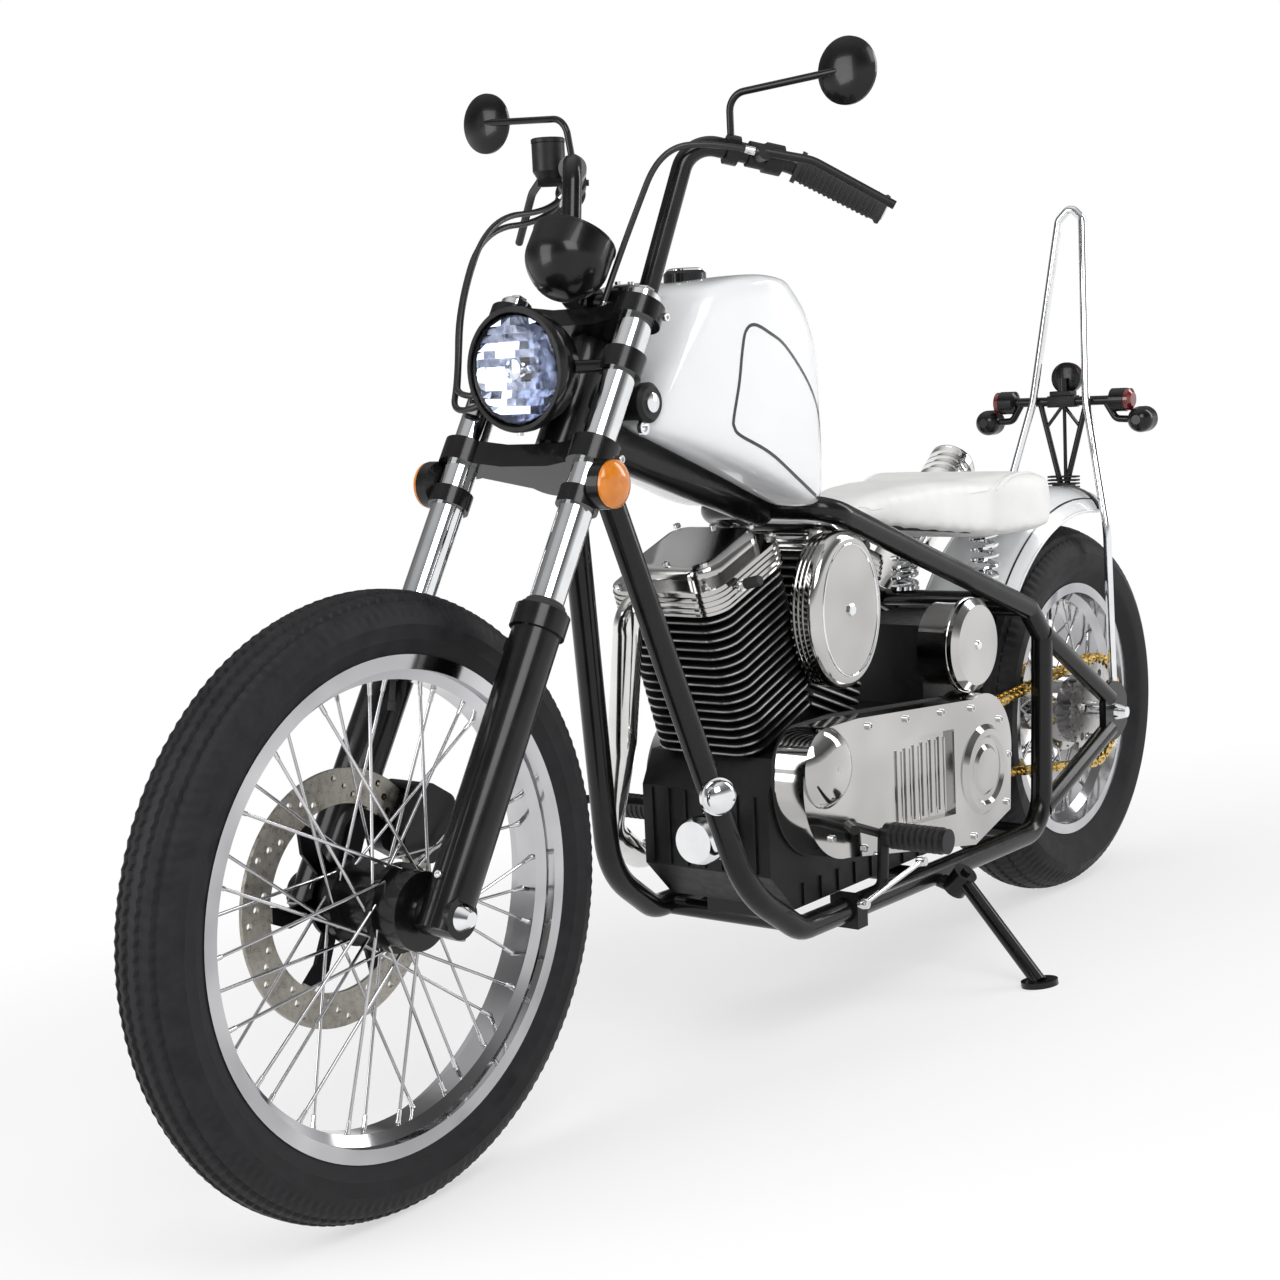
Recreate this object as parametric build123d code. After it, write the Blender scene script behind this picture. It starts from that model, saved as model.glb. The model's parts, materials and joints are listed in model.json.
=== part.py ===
from build123d import *
from math import atan2, cos, degrees, hypot, radians, sin, tan
import os

# A chopper motorcycle leaning on its side stand, as separate sub-parts.
# It is modelled upright in millimetres: X forward from the rear axle, Y to the rider's left, Z up.
# main() leans it over and moves the origin to the middle of its footprint on the floor.
# In the upright frame the floor is the plane Z = Y * tan(LEAN).

# ---- stance and clearances ----
LEAN = 8.0
WHEELBASE = 1630.0
SEAT_GAP = 0.3
RUN_GAP = 5.0

# ---- wheels ----
FRONT_TYRE_RADIUS = 350.0
FRONT_TYRE_WIDTH = 86.0
FRONT_CROWN_RADIUS = 45.0
FRONT_SHOULDER = 65.0
FRONT_BEAD_RADIUS = 266.7
FRONT_RIM_WIDTH = 68.0
REAR_TYRE_RADIUS = 315.0
REAR_TYRE_WIDTH = 150.0
REAR_CROWN_RADIUS = 90.0
REAR_SHOULDER = 48.0
REAR_BEAD_RADIUS = 203.2
REAR_RIM_WIDTH = 112.0
TREAD_THICKNESS = 13.0
TYRE_WALL = 7.0
RIM_WALL = 4.0
RIM_FLANGE = 12.5
RIM_DROP = 12.0
SPOKES_PER_GROUP = 10
SPOKE_RADIUS = 1.9
SPOKE_SWEEP = 54.0

# ---- hubs, axles, disc, sprocket and chain ----
AXLE_RADIUS = 10.0
SPACER_RADIUS = 15.0
HUB_FLANGE_THICKNESS = 10.0
FRONT_HUB_FLANGE_RADIUS = 50.0
FRONT_HUB_FLANGE_Y = 32.0
FRONT_HUB_BODY_RADIUS = 34.0
FRONT_HUB_HALF = 66.0
REAR_HUB_FLANGE_RADIUS = 72.0
REAR_HUB_FLANGE_Y = 38.0
REAR_HUB_BODY_RADIUS = 42.0
REAR_HUB_RIGHT = 88.0
DISC_RADIUS = 147.0
DISC_BAND = 40.0
DISC_THICKNESS = 5.0
DISC_Y = -62.0
SPROCKET_Y = 92.0
SPROCKET_THICKNESS = 7.0
TOOTH_SINK = 5.5
CHAIN_PITCH = 15.875
REAR_TEETH = 36
FRONT_TEETH = 16
CHAIN_WIDTH = 20.0
CHAIN_DEPTH = 15.0
FRONT_SPROCKET_AT = (500.0, 330.0)

# ---- fork and steering ----
RAKE = 31.5
FORK_HALF = 100.0
STEM_SETBACK = 45.0
FORK_TUBE_RADIUS = 20.5
FORK_TUBE_TOP = 770.0
SLIDER_RADIUS = 28.5
SLIDER_TOP = 360.0
SLIDER_FOOT_HALF = 24.0
LOWER_YOKE_AT = 546.0
UPPER_YOKE_AT = 739.0
YOKE_THICKNESS = 30.0
YOKE_BOSS_RADIUS = 29.5
NECK_FROM = 592.0
NECK_TO = 735.0
NECK_RADIUS = 28.0
STEM_RADIUS = 13.0

# ---- lamps and instruments ----
HEADLIGHT_AT = (1355.0, 0.0, 931.0)
HEADLIGHT_RADIUS = 73.0
HEADLIGHT_RIM = 14.0
LENS_DOME = 14.0
SPEEDO_AT = (1228.0, 0.0, 1084.0)
SPEEDO_RADIUS = 52.0
SPEEDO_DEPTH = 78.0
FRONT_SIGNAL_AT = (1356.0, 119.0, 796.0)
FRONT_SIGNAL_RADIUS = 29.0
FRONT_SIGNAL_LENGTH = 22.0

# ---- handlebar ----
BAR_RADIUS = 12.5
BAR_CLAMP = (1170.0, 1009.0)
BAR_RISER_Y = 28.0
BAR_PATH = [(1170.0, 60.0, 1009.0), (1110.0, 92.0, 1200.0), (1012.0, 175.0, 1170.0)]
BAR_END = (946.0, 264.0, 1109.0)
BAR_BENDS = [20.0, 40.0, 60.0]
GRIP_RADIUS = 16.5
GRIP_LENGTH = 118.0
MIRROR_AT = (1050.0, 286.0, 1265.0)
MIRROR_RADIUS = 40.0
MIRROR_DEPTH = 15.0
CABLE_RADIUS = 4.0
CABLE_ROUTES = [
    [(1035.3, -172.3, 1157.3), (1050.0, -190.0, 1126.5), (1180.0, -192.0, 1114.0), (1262.0, -166.0, 1010.0),
     (1292.0, -146.0, 925.0), (1345.0, -112.0, 874.0), (1333.7, -61.6, 894.7)],
    [(1044.2, -164.8, 1160.1), (1054.4, -176.9, 1138.9), (1182.0, -176.0, 1128.0), (1272.0, -152.0, 1022.0),
     (1304.0, -134.0, 930.0), (1330.0, -116.0, 898.0), (1319.2, -63.2, 902.6)],
    [(1070.0, 161.5, 1182.6), (1106.0, 131.0, 1194.0), (1158.0, 84.0, 1190.0), (1182.0, 54.0, 1104.0),
     (1201.7, 30.0, 1030.0), (1222.6, 30.0, 996.0)],
]

# ---- frame tubes ----
TUBE_RADIUS = 17.0
BACKBONE_RADIUS = 28.0
BACKBONE_UP = 625.0
RAIL_Y = 122.0
RAIL_HEIGHT = 172.0
STAY_Y = 130.0
STAY_RADIUS = 15.0
AXLE_PLATE_HALF = 6.0
DOWNTUBE_TOP = (1252.0, 12.0, 881.0)
DOWNTUBE_KNEE = (1082.0, 112.0, 250.0)
RAIL_FRONT = (975.0, RAIL_Y, 176.0)
RAIL_REAR = (262.0, RAIL_Y, 166.0)
SEAT_POST_TOP = (246.0, RAIL_Y, 478.0)
BACKBONE_REAR = (850.0, 0.0, 730.0)
SEAT_RAIL_KNEE = (838.0, 104.0, 727.0)
SEAT_RAIL_REAR = (292.0, RAIL_Y, 526.0)
CROSS_RADIUS = 13.0
ENGINE_MOUNTS_X = [940.0, 640.0]
SPRING_X = 338.0
SPRING_Y = 72.0

# ---- engine ----
CRANK_AT = (873.0, 293.0)
CYLINDER_ANGLE = 20.0
CYLINDER_FROM = 158.0
FIN_COUNT = 16
FIN_PITCH = 13.0
FIN_THICKNESS = 5.0
FIN_LENGTH = 178.0
FIN_WIDTH = 172.0
BARREL_LENGTH = 146.0
BARREL_WIDTH = 140.0
FIN_CORNER = 34.0
HEAD_HEIGHT = 34.0
ROCKER_HEIGHT = 24.0
CASE_BELOW = 95.0
CASE_ABOVE = 115.0
CRANKCASE_LEFT = 108.0
CRANKCASE_RIGHT = 98.0
GEARBOX_LEFT = 74.0
COVER_FACE_Y = 165.0
COVER_DOME = (952.0, 393.0, 54.0)   # x, z, radius
COVER_BOSS = (516.0, 312.0, 68.0)   # x, z, radius
COVER_LOBES = ((848.0, 345.0, 78.0), (640.0, 335.0, 60.0), (470.0, 330.0, 54.0))   # x, z, radius
INTAKE_RIBS_Y = (92.0, 99.0, 106.0)
BOX_HALF = 74.0

# ---- exhaust ----
EXHAUST_Y = 204.0

# ---- tank, seat, fender ----
TANK_HALF = 137.0
CAP_AT = (1004.0, 0.0, 1026.0)
CAP_RADIUS = 28.0
SEAT_UNDERSIDE = 654.0
FENDER_RADIUS = 378.0
FENDER_HALF = 84.0
FENDER_WALL = 4.0
FENDER_SKIRT = 40.0
FENDER_FROM = 38.0
FENDER_TO = 112.0
FENDER_TAIL = (-45.0, -118.0)   # where the rounded tail leaves the sides, and its tip

# ---- tail ----
SISSY_RADIUS = 7.0
SISSY_ROUTE = [(-28.0, STAY_Y - 6 - SISSY_RADIUS - SEAT_GAP, 345.0), (-44.0, 103.0, 620.0),
               (-84.0, 50.0, 838.0), (-141.0, 22.0, 1150.0)]
SISSY_TOP = (-143.0, 0.0, 1172.0)
TAIL_BAR_Z = 838.0
TAIL_LAMP_AT = (-108.0, 0.0, 878.0)

# ---- side stand ----
PEG_X = 850.0
PEG_HEIGHT = 285.0
PEG_RADIUS = 17.0
FOOT_BRACKETS = ((1, 181.0), (-1, 170.0))   # side, distance of the bracket from the middle
STAND_PIVOT = (610.0, 167.0, 168.0)
STAND_FOOT = (668.0, 318.0)
STAND_STOWED = (-1.0, 0.10, 0.02)
STAND_LEG_RADIUS = 11.0
STAND_EYE_HALF = 12.0
STAND_EYE_RADIUS = 18.0
STAND_PIN_RADIUS = 7.0
STAND_FOOT_RADIUS = 26.0
STAND_FOOT_THICKNESS = 8.0


def axle_height(tyre_radius, crown_radius):
    """Height at which a leaning wheel's round crown just meets the floor."""
    return tyre_radius - crown_radius + crown_radius / cos(radians(LEAN))


FRONT_AXLE = (WHEELBASE, 0.0, axle_height(FRONT_TYRE_RADIUS, FRONT_CROWN_RADIUS))
REAR_AXLE = (0.0, 0.0, axle_height(REAR_TYRE_RADIUS, REAR_CROWN_RADIUS))
LEG_UP = (-sin(radians(RAKE)), 0.0, cos(radians(RAKE)))
LEG_FORWARD = (cos(radians(RAKE)), 0.0, sin(radians(RAKE)))
FORK = Plane(origin=FRONT_AXLE, x_dir=LEG_FORWARD, z_dir=LEG_UP)


# ---- shape helpers ----
def outline(start, *steps):
    """A flat face of lines and arcs; a step is the next point, or an arc's middle and end."""
    edges = []
    here = start
    for step in steps:
        if isinstance(step[0], tuple):
            edges.append(ThreePointArc(here, step[0], step[1]))
            here = step[1]
        else:
            edges.append(Line(here, step))
            here = step
    if here != start:
        edges.append(Line(here, start))
    return make_face(edges)


def plate(face, y_from, y_to):
    """A side-view face (X, Z) made solid between two Y values."""
    return extrude(Plane.XZ.offset(-y_to) * face, y_to - y_from)


def across(direction):
    """Some direction square to the one given."""
    along = Vector(*direction).normalized()
    other = Vector(0, 1, 0) if abs(along.Y) < 0.9 else Vector(1, 0, 0)
    return along.cross(other).normalized()


def turned(points, centre, direction=(0, 1, 0)):
    """A round solid; the points and arcs are its outline as (distance along, radius)."""
    last = points[-1][1] if isinstance(points[-1][0], tuple) else points[-1]
    closing = [(last[0], 0)] if last[1] > 0 else []
    face = outline((points[0][0], 0), *points, *closing)
    return ring(face, centre, direction)


def ring(face, centre, direction=(0, 1, 0)):
    """A face of (distance along, radius) turned once round a line through the centre."""
    plane = Plane(origin=centre, x_dir=direction, z_dir=across(direction))
    return revolve(plane * face, Axis(centre, direction))


def rod(start, end, radius):
    """A straight round bar between two points."""
    reach = Vector(*end) - Vector(*start)
    return extrude(Plane(origin=start, z_dir=reach) * Circle(radius), reach.length)


def bent_tube(points, bends, radius):
    """A round tube along straight runs joined by arcs; one bend radius, or one for each corner."""
    path = FilletPolyline(*points, radius=bends)
    section = Plane(origin=path @ 0, z_dir=path % 0) * Circle(radius)
    return sweep(section, path=path)


def mirrored_point(point):
    x, y, z = point
    return (x, -y, z)


def both_sides(shape):
    """The shape and its mirror image across the bike's middle plane."""
    return [shape, mirror(shape, about=Plane.XZ)]


def joined(shapes):
    """All shapes fused to one."""
    first, *others = shapes
    return first.fuse(*others) if others else first


def solids(shapes):
    """Shapes that don't touch, kept as separate solids of one sub-part."""
    return Compound(children=[solid for shape in shapes for solid in shape.solids()])


def on_fork(forward, y, up):
    """A point given along the fork legs, in the upright frame."""
    return tuple(FORK.from_local_coords(Vector(forward, y, up)))


# ---- wheels ----
def tyre(centre, radius, width, crown, shoulder, bead_radius, rim_width):
    """A hollow tyre: round crown, bulged walls, beads that seat inside the rim's flanges."""
    turn = radians(shoulder)
    bead_y = rim_width / 2 - RIM_WALL - SEAT_GAP
    seat = bead_radius + SEAT_GAP
    flange_top = bead_radius + RIM_FLANGE + 1.5
    edge = (crown * sin(turn), radius - crown + crown * cos(turn))
    half_turn = (crown * sin(turn / 2), radius - crown + crown * cos(turn / 2))
    bulge = (width / 2, (edge[1] + flange_top) / 2 + 4)
    inner = crown - TREAD_THICKNESS
    inner_edge = (inner * sin(turn), radius - crown + inner * cos(turn))
    inner_bulge = (width / 2 - TYRE_WALL, bulge[1])
    bead_in = bead_y - 10
    outer = outline(
        (0, seat), (bead_y, seat), (bead_y, flange_top), (bulge, edge), (half_turn, (0, radius)))
    hollow = outline(
        (0, seat), (bead_in, seat), (bead_in, flange_top - 4), (inner_bulge, inner_edge),
        ((inner * sin(turn / 2), radius - crown + inner * cos(turn / 2)), (0, radius - TREAD_THICKNESS)))
    half = outer - hollow
    section = half + mirror(half, about=Plane.YZ)
    return ring(section.face(), centre)


def rim(centre, bead_radius, rim_width):
    """A drop-centre rim: two flanges, two bead seats and a well between them."""
    half = rim_width / 2
    well = bead_radius - RIM_DROP
    right = [
        (half * 0.36, well), (half * 0.56, bead_radius), (half - RIM_WALL, bead_radius),
        (half - RIM_WALL, bead_radius + RIM_FLANGE), (half, bead_radius + RIM_FLANGE),
        (half, bead_radius - RIM_WALL), (half * 0.62, bead_radius - RIM_WALL),
        (half * 0.42, well - RIM_WALL)]
    left_half = [(-y, r) for y, r in reversed(right)]
    return ring(outline(right[0], *right[1:], *left_half), centre)


def spokes(centre, hub_y, hub_radius, rim_y, rim_radius):
    """Crossed spokes in four groups: left and right of the hub, leading and trailing."""
    rods = []
    groups = [(1, 1), (-1, 1), (1, -1), (-1, -1)]   # side of the hub, way the spoke leans
    step = 360 / (SPOKES_PER_GROUP * len(groups))
    head_offset = HUB_FLANGE_THICKNESS / 2 - 0.5
    for number, (side, sweep_way) in enumerate(groups):
        for index in range(SPOKES_PER_GROUP):
            rim_turn = radians(step * (len(groups) * index + number))
            hub_turn = rim_turn + sweep_way * radians(SPOKE_SWEEP)
            start = (
                centre[0] + hub_radius * cos(hub_turn),
                side * (hub_y + sweep_way * head_offset),
                centre[2] + hub_radius * sin(hub_turn))
            end = (
                centre[0] + rim_radius * cos(rim_turn),
                side * rim_y,
                centre[2] + rim_radius * sin(rim_turn))
            rods.append(rod(start, end, SPOKE_RADIUS))
    return rods


def front_rim():
    hoop = rim(FRONT_AXLE, FRONT_BEAD_RADIUS, FRONT_RIM_WIDTH)
    reach = FRONT_BEAD_RADIUS - RIM_DROP - RIM_WALL / 2
    laced = spokes(FRONT_AXLE, FRONT_HUB_FLANGE_Y, FRONT_HUB_FLANGE_RADIUS - 6, 7, reach)
    return joined([hoop, *laced])


def rear_rim():
    hoop = rim(REAR_AXLE, REAR_BEAD_RADIUS, REAR_RIM_WIDTH)
    reach = REAR_BEAD_RADIUS - RIM_DROP - RIM_WALL / 2
    laced = spokes(REAR_AXLE, REAR_HUB_FLANGE_Y, REAR_HUB_FLANGE_RADIUS - 6, 12, reach)
    return joined([hoop, *laced])


def hub(centre, half_left, half_right, body, flange_radius, flange_y, left_drum, right_drum):
    """A spoked hub on its axle; each drum is (from Y, radius) and runs out to the hub's end."""
    bore = AXLE_RADIUS + SEAT_GAP
    inner = flange_y - HUB_FLANGE_THICKNESS / 2
    outer = flange_y + HUB_FLANGE_THICKNESS / 2
    profile = outline(
        (-half_right, bore), (-half_right, right_drum[1]), (-right_drum[0], right_drum[1]),
        (-outer, right_drum[1]), (-outer, flange_radius), (-inner, flange_radius), (-inner, body),
        (inner, body), (inner, flange_radius), (outer, flange_radius), (outer, left_drum[1]),
        (half_left, left_drum[1]), (half_left, bore))
    return ring(profile, centre)


def front_hub():
    return hub(
        FRONT_AXLE, FRONT_HUB_HALF, -DISC_Y - DISC_THICKNESS / 2, FRONT_HUB_BODY_RADIUS,
        FRONT_HUB_FLANGE_RADIUS, FRONT_HUB_FLANGE_Y, (40, 44), (40, 38))


def rear_hub():
    return hub(
        REAR_AXLE, SPROCKET_Y - SPROCKET_THICKNESS / 2, REAR_HUB_RIGHT, REAR_HUB_BODY_RADIUS,
        REAR_HUB_FLANGE_RADIUS, REAR_HUB_FLANGE_Y, (50, 58), (50, 80))


def front_axle():
    """The axle bar with its spacers and end nuts; the fork's feet clamp on it."""
    outer = FORK_HALF + SLIDER_FOOT_HALF + SEAT_GAP
    tip = outer + 14
    hub_left = FRONT_HUB_HALF + SEAT_GAP
    hub_right = -DISC_Y + DISC_THICKNESS / 2 + SEAT_GAP
    foot = FORK_HALF - SLIDER_RADIUS - SEAT_GAP
    return turned(
        [(-tip, 8), (-outer, 15), (-outer, AXLE_RADIUS), (-foot, AXLE_RADIUS), (-foot, SPACER_RADIUS),
         (-hub_right, SPACER_RADIUS), (-hub_right, AXLE_RADIUS), (hub_left, AXLE_RADIUS),
         (hub_left, SPACER_RADIUS), (foot, SPACER_RADIUS), (foot, AXLE_RADIUS), (outer, AXLE_RADIUS),
         (outer, 15), (tip, 8)],
        FRONT_AXLE)


def rear_axle():
    """The axle bar with its spacers and end nuts, held by the frame's axle plates."""
    plate_in = STAY_Y - AXLE_PLATE_HALF - SEAT_GAP
    plate_out = STAY_Y + AXLE_PLATE_HALF + SEAT_GAP
    hub_left = SPROCKET_Y + SPROCKET_THICKNESS / 2 + SEAT_GAP
    hub_right = REAR_HUB_RIGHT + SEAT_GAP
    return turned(
        [(-plate_out - 18, 9), (-plate_out, 15), (-plate_out, AXLE_RADIUS), (-plate_in, AXLE_RADIUS),
         (-plate_in, SPACER_RADIUS), (-hub_right, SPACER_RADIUS), (-hub_right, AXLE_RADIUS),
         (hub_left, AXLE_RADIUS), (hub_left, SPACER_RADIUS), (plate_in, SPACER_RADIUS),
         (plate_in, AXLE_RADIUS), (plate_out, AXLE_RADIUS), (plate_out, 15), (plate_out + 18, 9)],
        REAR_AXLE)


def brake_disc():
    """The drilled disc band on its spider, bolted to the right of the front hub."""
    inner = DISC_RADIUS - DISC_BAND
    face = Circle(DISC_RADIUS) - Circle(inner)
    arms = 6
    for index in range(arms):
        turn = 360 / arms * index
        arm = outline((30, -9), (80, -16), (inner + 4, -2), (inner + 4, 16), (80, 6), (30, 11))
        face += Rotation(0, 0, turn) * arm
    face += Circle(46)
    face -= Circle(AXLE_RADIUS + 6)
    holes = [(DISC_RADIUS - 10, 0), (DISC_RADIUS - 20, 7), (DISC_RADIUS - 30, 14)]
    for radius, offset in holes:
        face -= PolarLocations(radius, 12, start_angle=offset) * Circle(4)
    placed = Plane.XZ.offset(-DISC_Y - DISC_THICKNESS / 2) * face
    return Pos(*FRONT_AXLE) * extrude(placed, DISC_THICKNESS)


def pitch_radius(teeth):
    """Radius at which the chain's pins ride on a sprocket."""
    return CHAIN_PITCH / 2 / sin(radians(180 / teeth))


def sprocket():
    """The toothed rear sprocket with its lightening holes, bolted to the left of the rear hub."""
    tip = pitch_radius(REAR_TEETH) - TOOTH_SINK
    root = tip - 6
    face = Circle(root)
    tooth = outline((root - 3, -4.6), (tip, -1.6), (tip, 1.6), (root - 3, 4.6))
    face += PolarLocations(0, REAR_TEETH) * tooth
    face -= Circle(AXLE_RADIUS + SEAT_GAP)
    face -= PolarLocations(root * 0.80, 10) * Circle(7)
    placed = Plane.XZ.offset(-SPROCKET_Y - SPROCKET_THICKNESS / 2) * face
    return Pos(*REAR_AXLE) * extrude(placed, SPROCKET_THICKNESS)


def chain_loop(offset):
    """The side view of the chain's run round both sprockets, moved outward by an offset."""
    rear = pitch_radius(REAR_TEETH) + offset
    front = pitch_radius(FRONT_TEETH) + offset
    span = hypot(FRONT_SPROCKET_AT[0], FRONT_SPROCKET_AT[1] - REAR_AXLE[2])
    rise = atan2(FRONT_SPROCKET_AT[1] - REAR_AXLE[2], FRONT_SPROCKET_AT[0])
    flare = radians(90) - (rear - front) / span

    def on_rear(turn):
        return (rear * cos(turn), REAR_AXLE[2] + rear * sin(turn))

    def on_front(turn):
        return (FRONT_SPROCKET_AT[0] + front * cos(turn), FRONT_SPROCKET_AT[1] + front * sin(turn))

    return outline(
        on_rear(rise + flare), on_front(rise + flare), (on_front(rise), on_front(rise - flare)),
        on_rear(rise - flare), (on_rear(rise + radians(180)), on_rear(rise + flare)))


def drive_chain():
    """The chain as one fixed loop round both sprockets, on the left."""
    half = CHAIN_DEPTH / 2
    plates = chain_loop(half) - chain_loop(-half)
    rollers = chain_loop(half / 2) - chain_loop(-half / 2)
    slot = CHAIN_WIDTH / 2 - 4
    return joined([
        plate(plates, SPROCKET_Y + slot, SPROCKET_Y + CHAIN_WIDTH / 2),
        plate(plates, SPROCKET_Y - CHAIN_WIDTH / 2, SPROCKET_Y - slot),
        plate(rollers, SPROCKET_Y - slot, SPROCKET_Y + slot)])


# ---- fork and steering ----
def fork_tubes():
    tube = Pos(0, FORK_HALF, SLIDER_TOP - 240) * extrude(Circle(FORK_TUBE_RADIUS), FORK_TUBE_TOP - SLIDER_TOP + 240)
    return solids([FORK * shape for shape in both_sides(tube)])


def fork_sliders():
    """Lower legs: bored for the tubes, with a collar on top and a foot that clamps the axle."""
    bottom = SLIDER_TOP - 240 - SEAT_GAP
    leg = Pos(0, 0, -20) * extrude(Circle(SLIDER_RADIUS), SLIDER_TOP + 20)
    collar = Pos(0, 0, SLIDER_TOP - 26) * extrude(Circle(SLIDER_RADIUS + 4), 26)
    lug = Pos(-6, -20, SLIDER_TOP - 44) * Box(26, 30, 16)
    foot = turned([(-SLIDER_FOOT_HALF, 24), (SLIDER_FOOT_HALF, 24)], (0, 0, 0))
    leg = joined([leg, collar, lug, foot])
    leg -= turned([(SLIDER_FOOT_HALF, 60), (60, 60)], (0, 0, 0)) & (Pos(0, 0, -30) * Box(120, 160, 90))
    leg -= Pos(0, 0, bottom) * extrude(Circle(FORK_TUBE_RADIUS + SEAT_GAP), SLIDER_TOP)
    leg -= turned([(-60, AXLE_RADIUS + SEAT_GAP), (60, AXLE_RADIUS + SEAT_GAP)], (0, 0, 0))
    leg = Pos(0, FORK_HALF, 0) * leg
    return solids([FORK * shape for shape in both_sides(leg)])


def yoke(thickness, boss):
    """One yoke in plan: a boss round each leg and one round the stem, with tapered arms."""
    face = Pos(-STEM_SETBACK, 0) * Circle(boss)
    for side in (1, -1):
        face += Pos(0, side * FORK_HALF) * Circle(boss)
    waist = -STEM_SETBACK - boss + 12
    face += outline(
        (boss - 10, -FORK_HALF), (2, -36), (2, 36), (boss - 10, FORK_HALF), (-boss + 8, FORK_HALF),
        (waist, 12), (waist, -12), (-boss + 8, -FORK_HALF))
    for side in (1, -1):
        face -= Pos(0, side * FORK_HALF) * Circle(FORK_TUBE_RADIUS + SEAT_GAP)
    return extrude(face, thickness)


def fork_yokes():
    """Both yokes, the steering stem with its bearing seats, and the handlebar risers."""
    lower = Pos(0, 0, LOWER_YOKE_AT) * yoke(YOKE_THICKNESS, YOKE_BOSS_RADIUS)
    upper = Pos(0, 0, UPPER_YOKE_AT) * yoke(YOKE_THICKNESS - 6, YOKE_BOSS_RADIUS)
    stem_at = Pos(-STEM_SETBACK, 0, 0)
    stem = stem_at * Pos(0, 0, LOWER_YOKE_AT) * extrude(Circle(STEM_RADIUS), UPPER_YOKE_AT - LOWER_YOKE_AT + 10)
    low_seat = stem_at * Pos(0, 0, LOWER_YOKE_AT) * extrude(Circle(24), NECK_FROM - SEAT_GAP - LOWER_YOKE_AT)
    high_from = NECK_TO + SEAT_GAP
    high_seat = stem_at * Pos(0, 0, high_from) * extrude(Circle(24), UPPER_YOKE_AT + 4 - high_from)
    parts = [FORK * shape for shape in (lower, upper, stem, low_seat, high_seat)]
    bar_x, bar_z = BAR_CLAMP
    for side in (1, -1):
        foot = on_fork(-STEM_SETBACK + 2, side * BAR_RISER_Y, UPPER_YOKE_AT + 4)
        parts.append(rod(foot, (bar_x, side * BAR_RISER_Y, bar_z), 13))
        parts.append(turned([(-11, 20), (11, 20)], (bar_x, side * BAR_RISER_Y, bar_z)))
    body = joined(parts)
    grip = 24 + BAR_RISER_Y
    return body - rod((bar_x, -grip, bar_z), (bar_x, grip, bar_z), BAR_RADIUS + SEAT_GAP)


def headlight_shell():
    """A round bowl behind the lamp's rim, hung from the fork tubes by two ears."""
    x, y, z = HEADLIGHT_AT
    r = HEADLIGHT_RADIUS
    bowl_radius = r - 3
    middle = (-HEADLIGHT_RIM - bowl_radius * sin(radians(45)), bowl_radius * cos(radians(45)))
    end = (-HEADLIGHT_RIM - bowl_radius * sin(radians(75)), bowl_radius * cos(radians(75)))
    bowl = turned(
        [(0, r - 6), (0, r), (-HEADLIGHT_RIM, r), (-HEADLIGHT_RIM, bowl_radius), (middle, end)],
        HEADLIGHT_AT, (1, 0, 0))
    bowl -= turned([(-LENS_DOME - 2, r - 6 + SEAT_GAP), (4, r - 6 + SEAT_GAP)], HEADLIGHT_AT, (1, 0, 0))
    parts = [bowl]
    tube_up = (z - FRONT_AXLE[2]) / LEG_UP[2]
    tube_x = FRONT_AXLE[0] + LEG_UP[0] * tube_up
    clamp_radius = FORK_TUBE_RADIUS + 6
    for side in (1, -1):
        collar = Pos(0, side * FORK_HALF, tube_up - 14) * extrude(Circle(clamp_radius), 28)
        parts.append(FORK * collar)
        parts.append(rod((x - 32, side * (r - 8), z), (tube_x + 4, side * (FORK_HALF - 12), z), 8))
    body = joined(parts)
    for side in (1, -1):
        tube = Pos(0, side * FORK_HALF, tube_up - 60) * extrude(Circle(FORK_TUBE_RADIUS + SEAT_GAP), 120)
        body -= FORK * tube
    return body


def headlight_lens():
    """The clear front glass, domed, seated inside the lamp's rim."""
    r = HEADLIGHT_RADIUS - 6
    return turned(
        [(-LENS_DOME - 2 + SEAT_GAP, r), (-2, r), ((LENS_DOME * 0.6, r * 0.62), (LENS_DOME, 3))],
        HEADLIGHT_AT, (1, 0, 0))


def speedometer():
    """A round instrument: a bowl open to the rider, with a dial glass, on a bracket."""
    r = SPEEDO_RADIUS
    facing = (-0.56, 0, 0.83)
    pod = turned(
        [(-SPEEDO_DEPTH, 16), ((-SPEEDO_DEPTH * 0.72, r * 0.82), (-SPEEDO_DEPTH * 0.4, r)), (0, r)],
        SPEEDO_AT, facing)
    yoke_top = UPPER_YOKE_AT + YOKE_THICKNESS - 6 + SEAT_GAP
    foot = FORK * Pos(10, 0, yoke_top) * extrude(Circle(13), 12)
    x, y, z = SPEEDO_AT
    post = rod(on_fork(10, 0, yoke_top + 8), (x + 10, 0, z - 30), 9)
    return joined([pod, foot, post])


def bar_points():
    """The handlebar's route from the right end to the left end."""
    left_half = [*BAR_PATH, BAR_END]
    right_half = [mirrored_point(point) for point in reversed(left_half)]
    return [*right_half, *left_half]


def handlebar():
    bends = [*reversed(BAR_BENDS), *BAR_BENDS]
    return bent_tube(bar_points(), bends, BAR_RADIUS)


def grip_line():
    """The left grip's outer end and the unit direction that runs inboard from it."""
    end = Vector(*BAR_END)
    inboard = (Vector(*BAR_PATH[-1]) - end).normalized()
    return end, inboard


def control_line():
    """Where the left controls sit: the bar's last bend and the unit direction inboard from it."""
    corner = Vector(*BAR_PATH[-1])
    inboard = (Vector(*BAR_PATH[-2]) - corner).normalized()
    return corner, inboard


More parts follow.
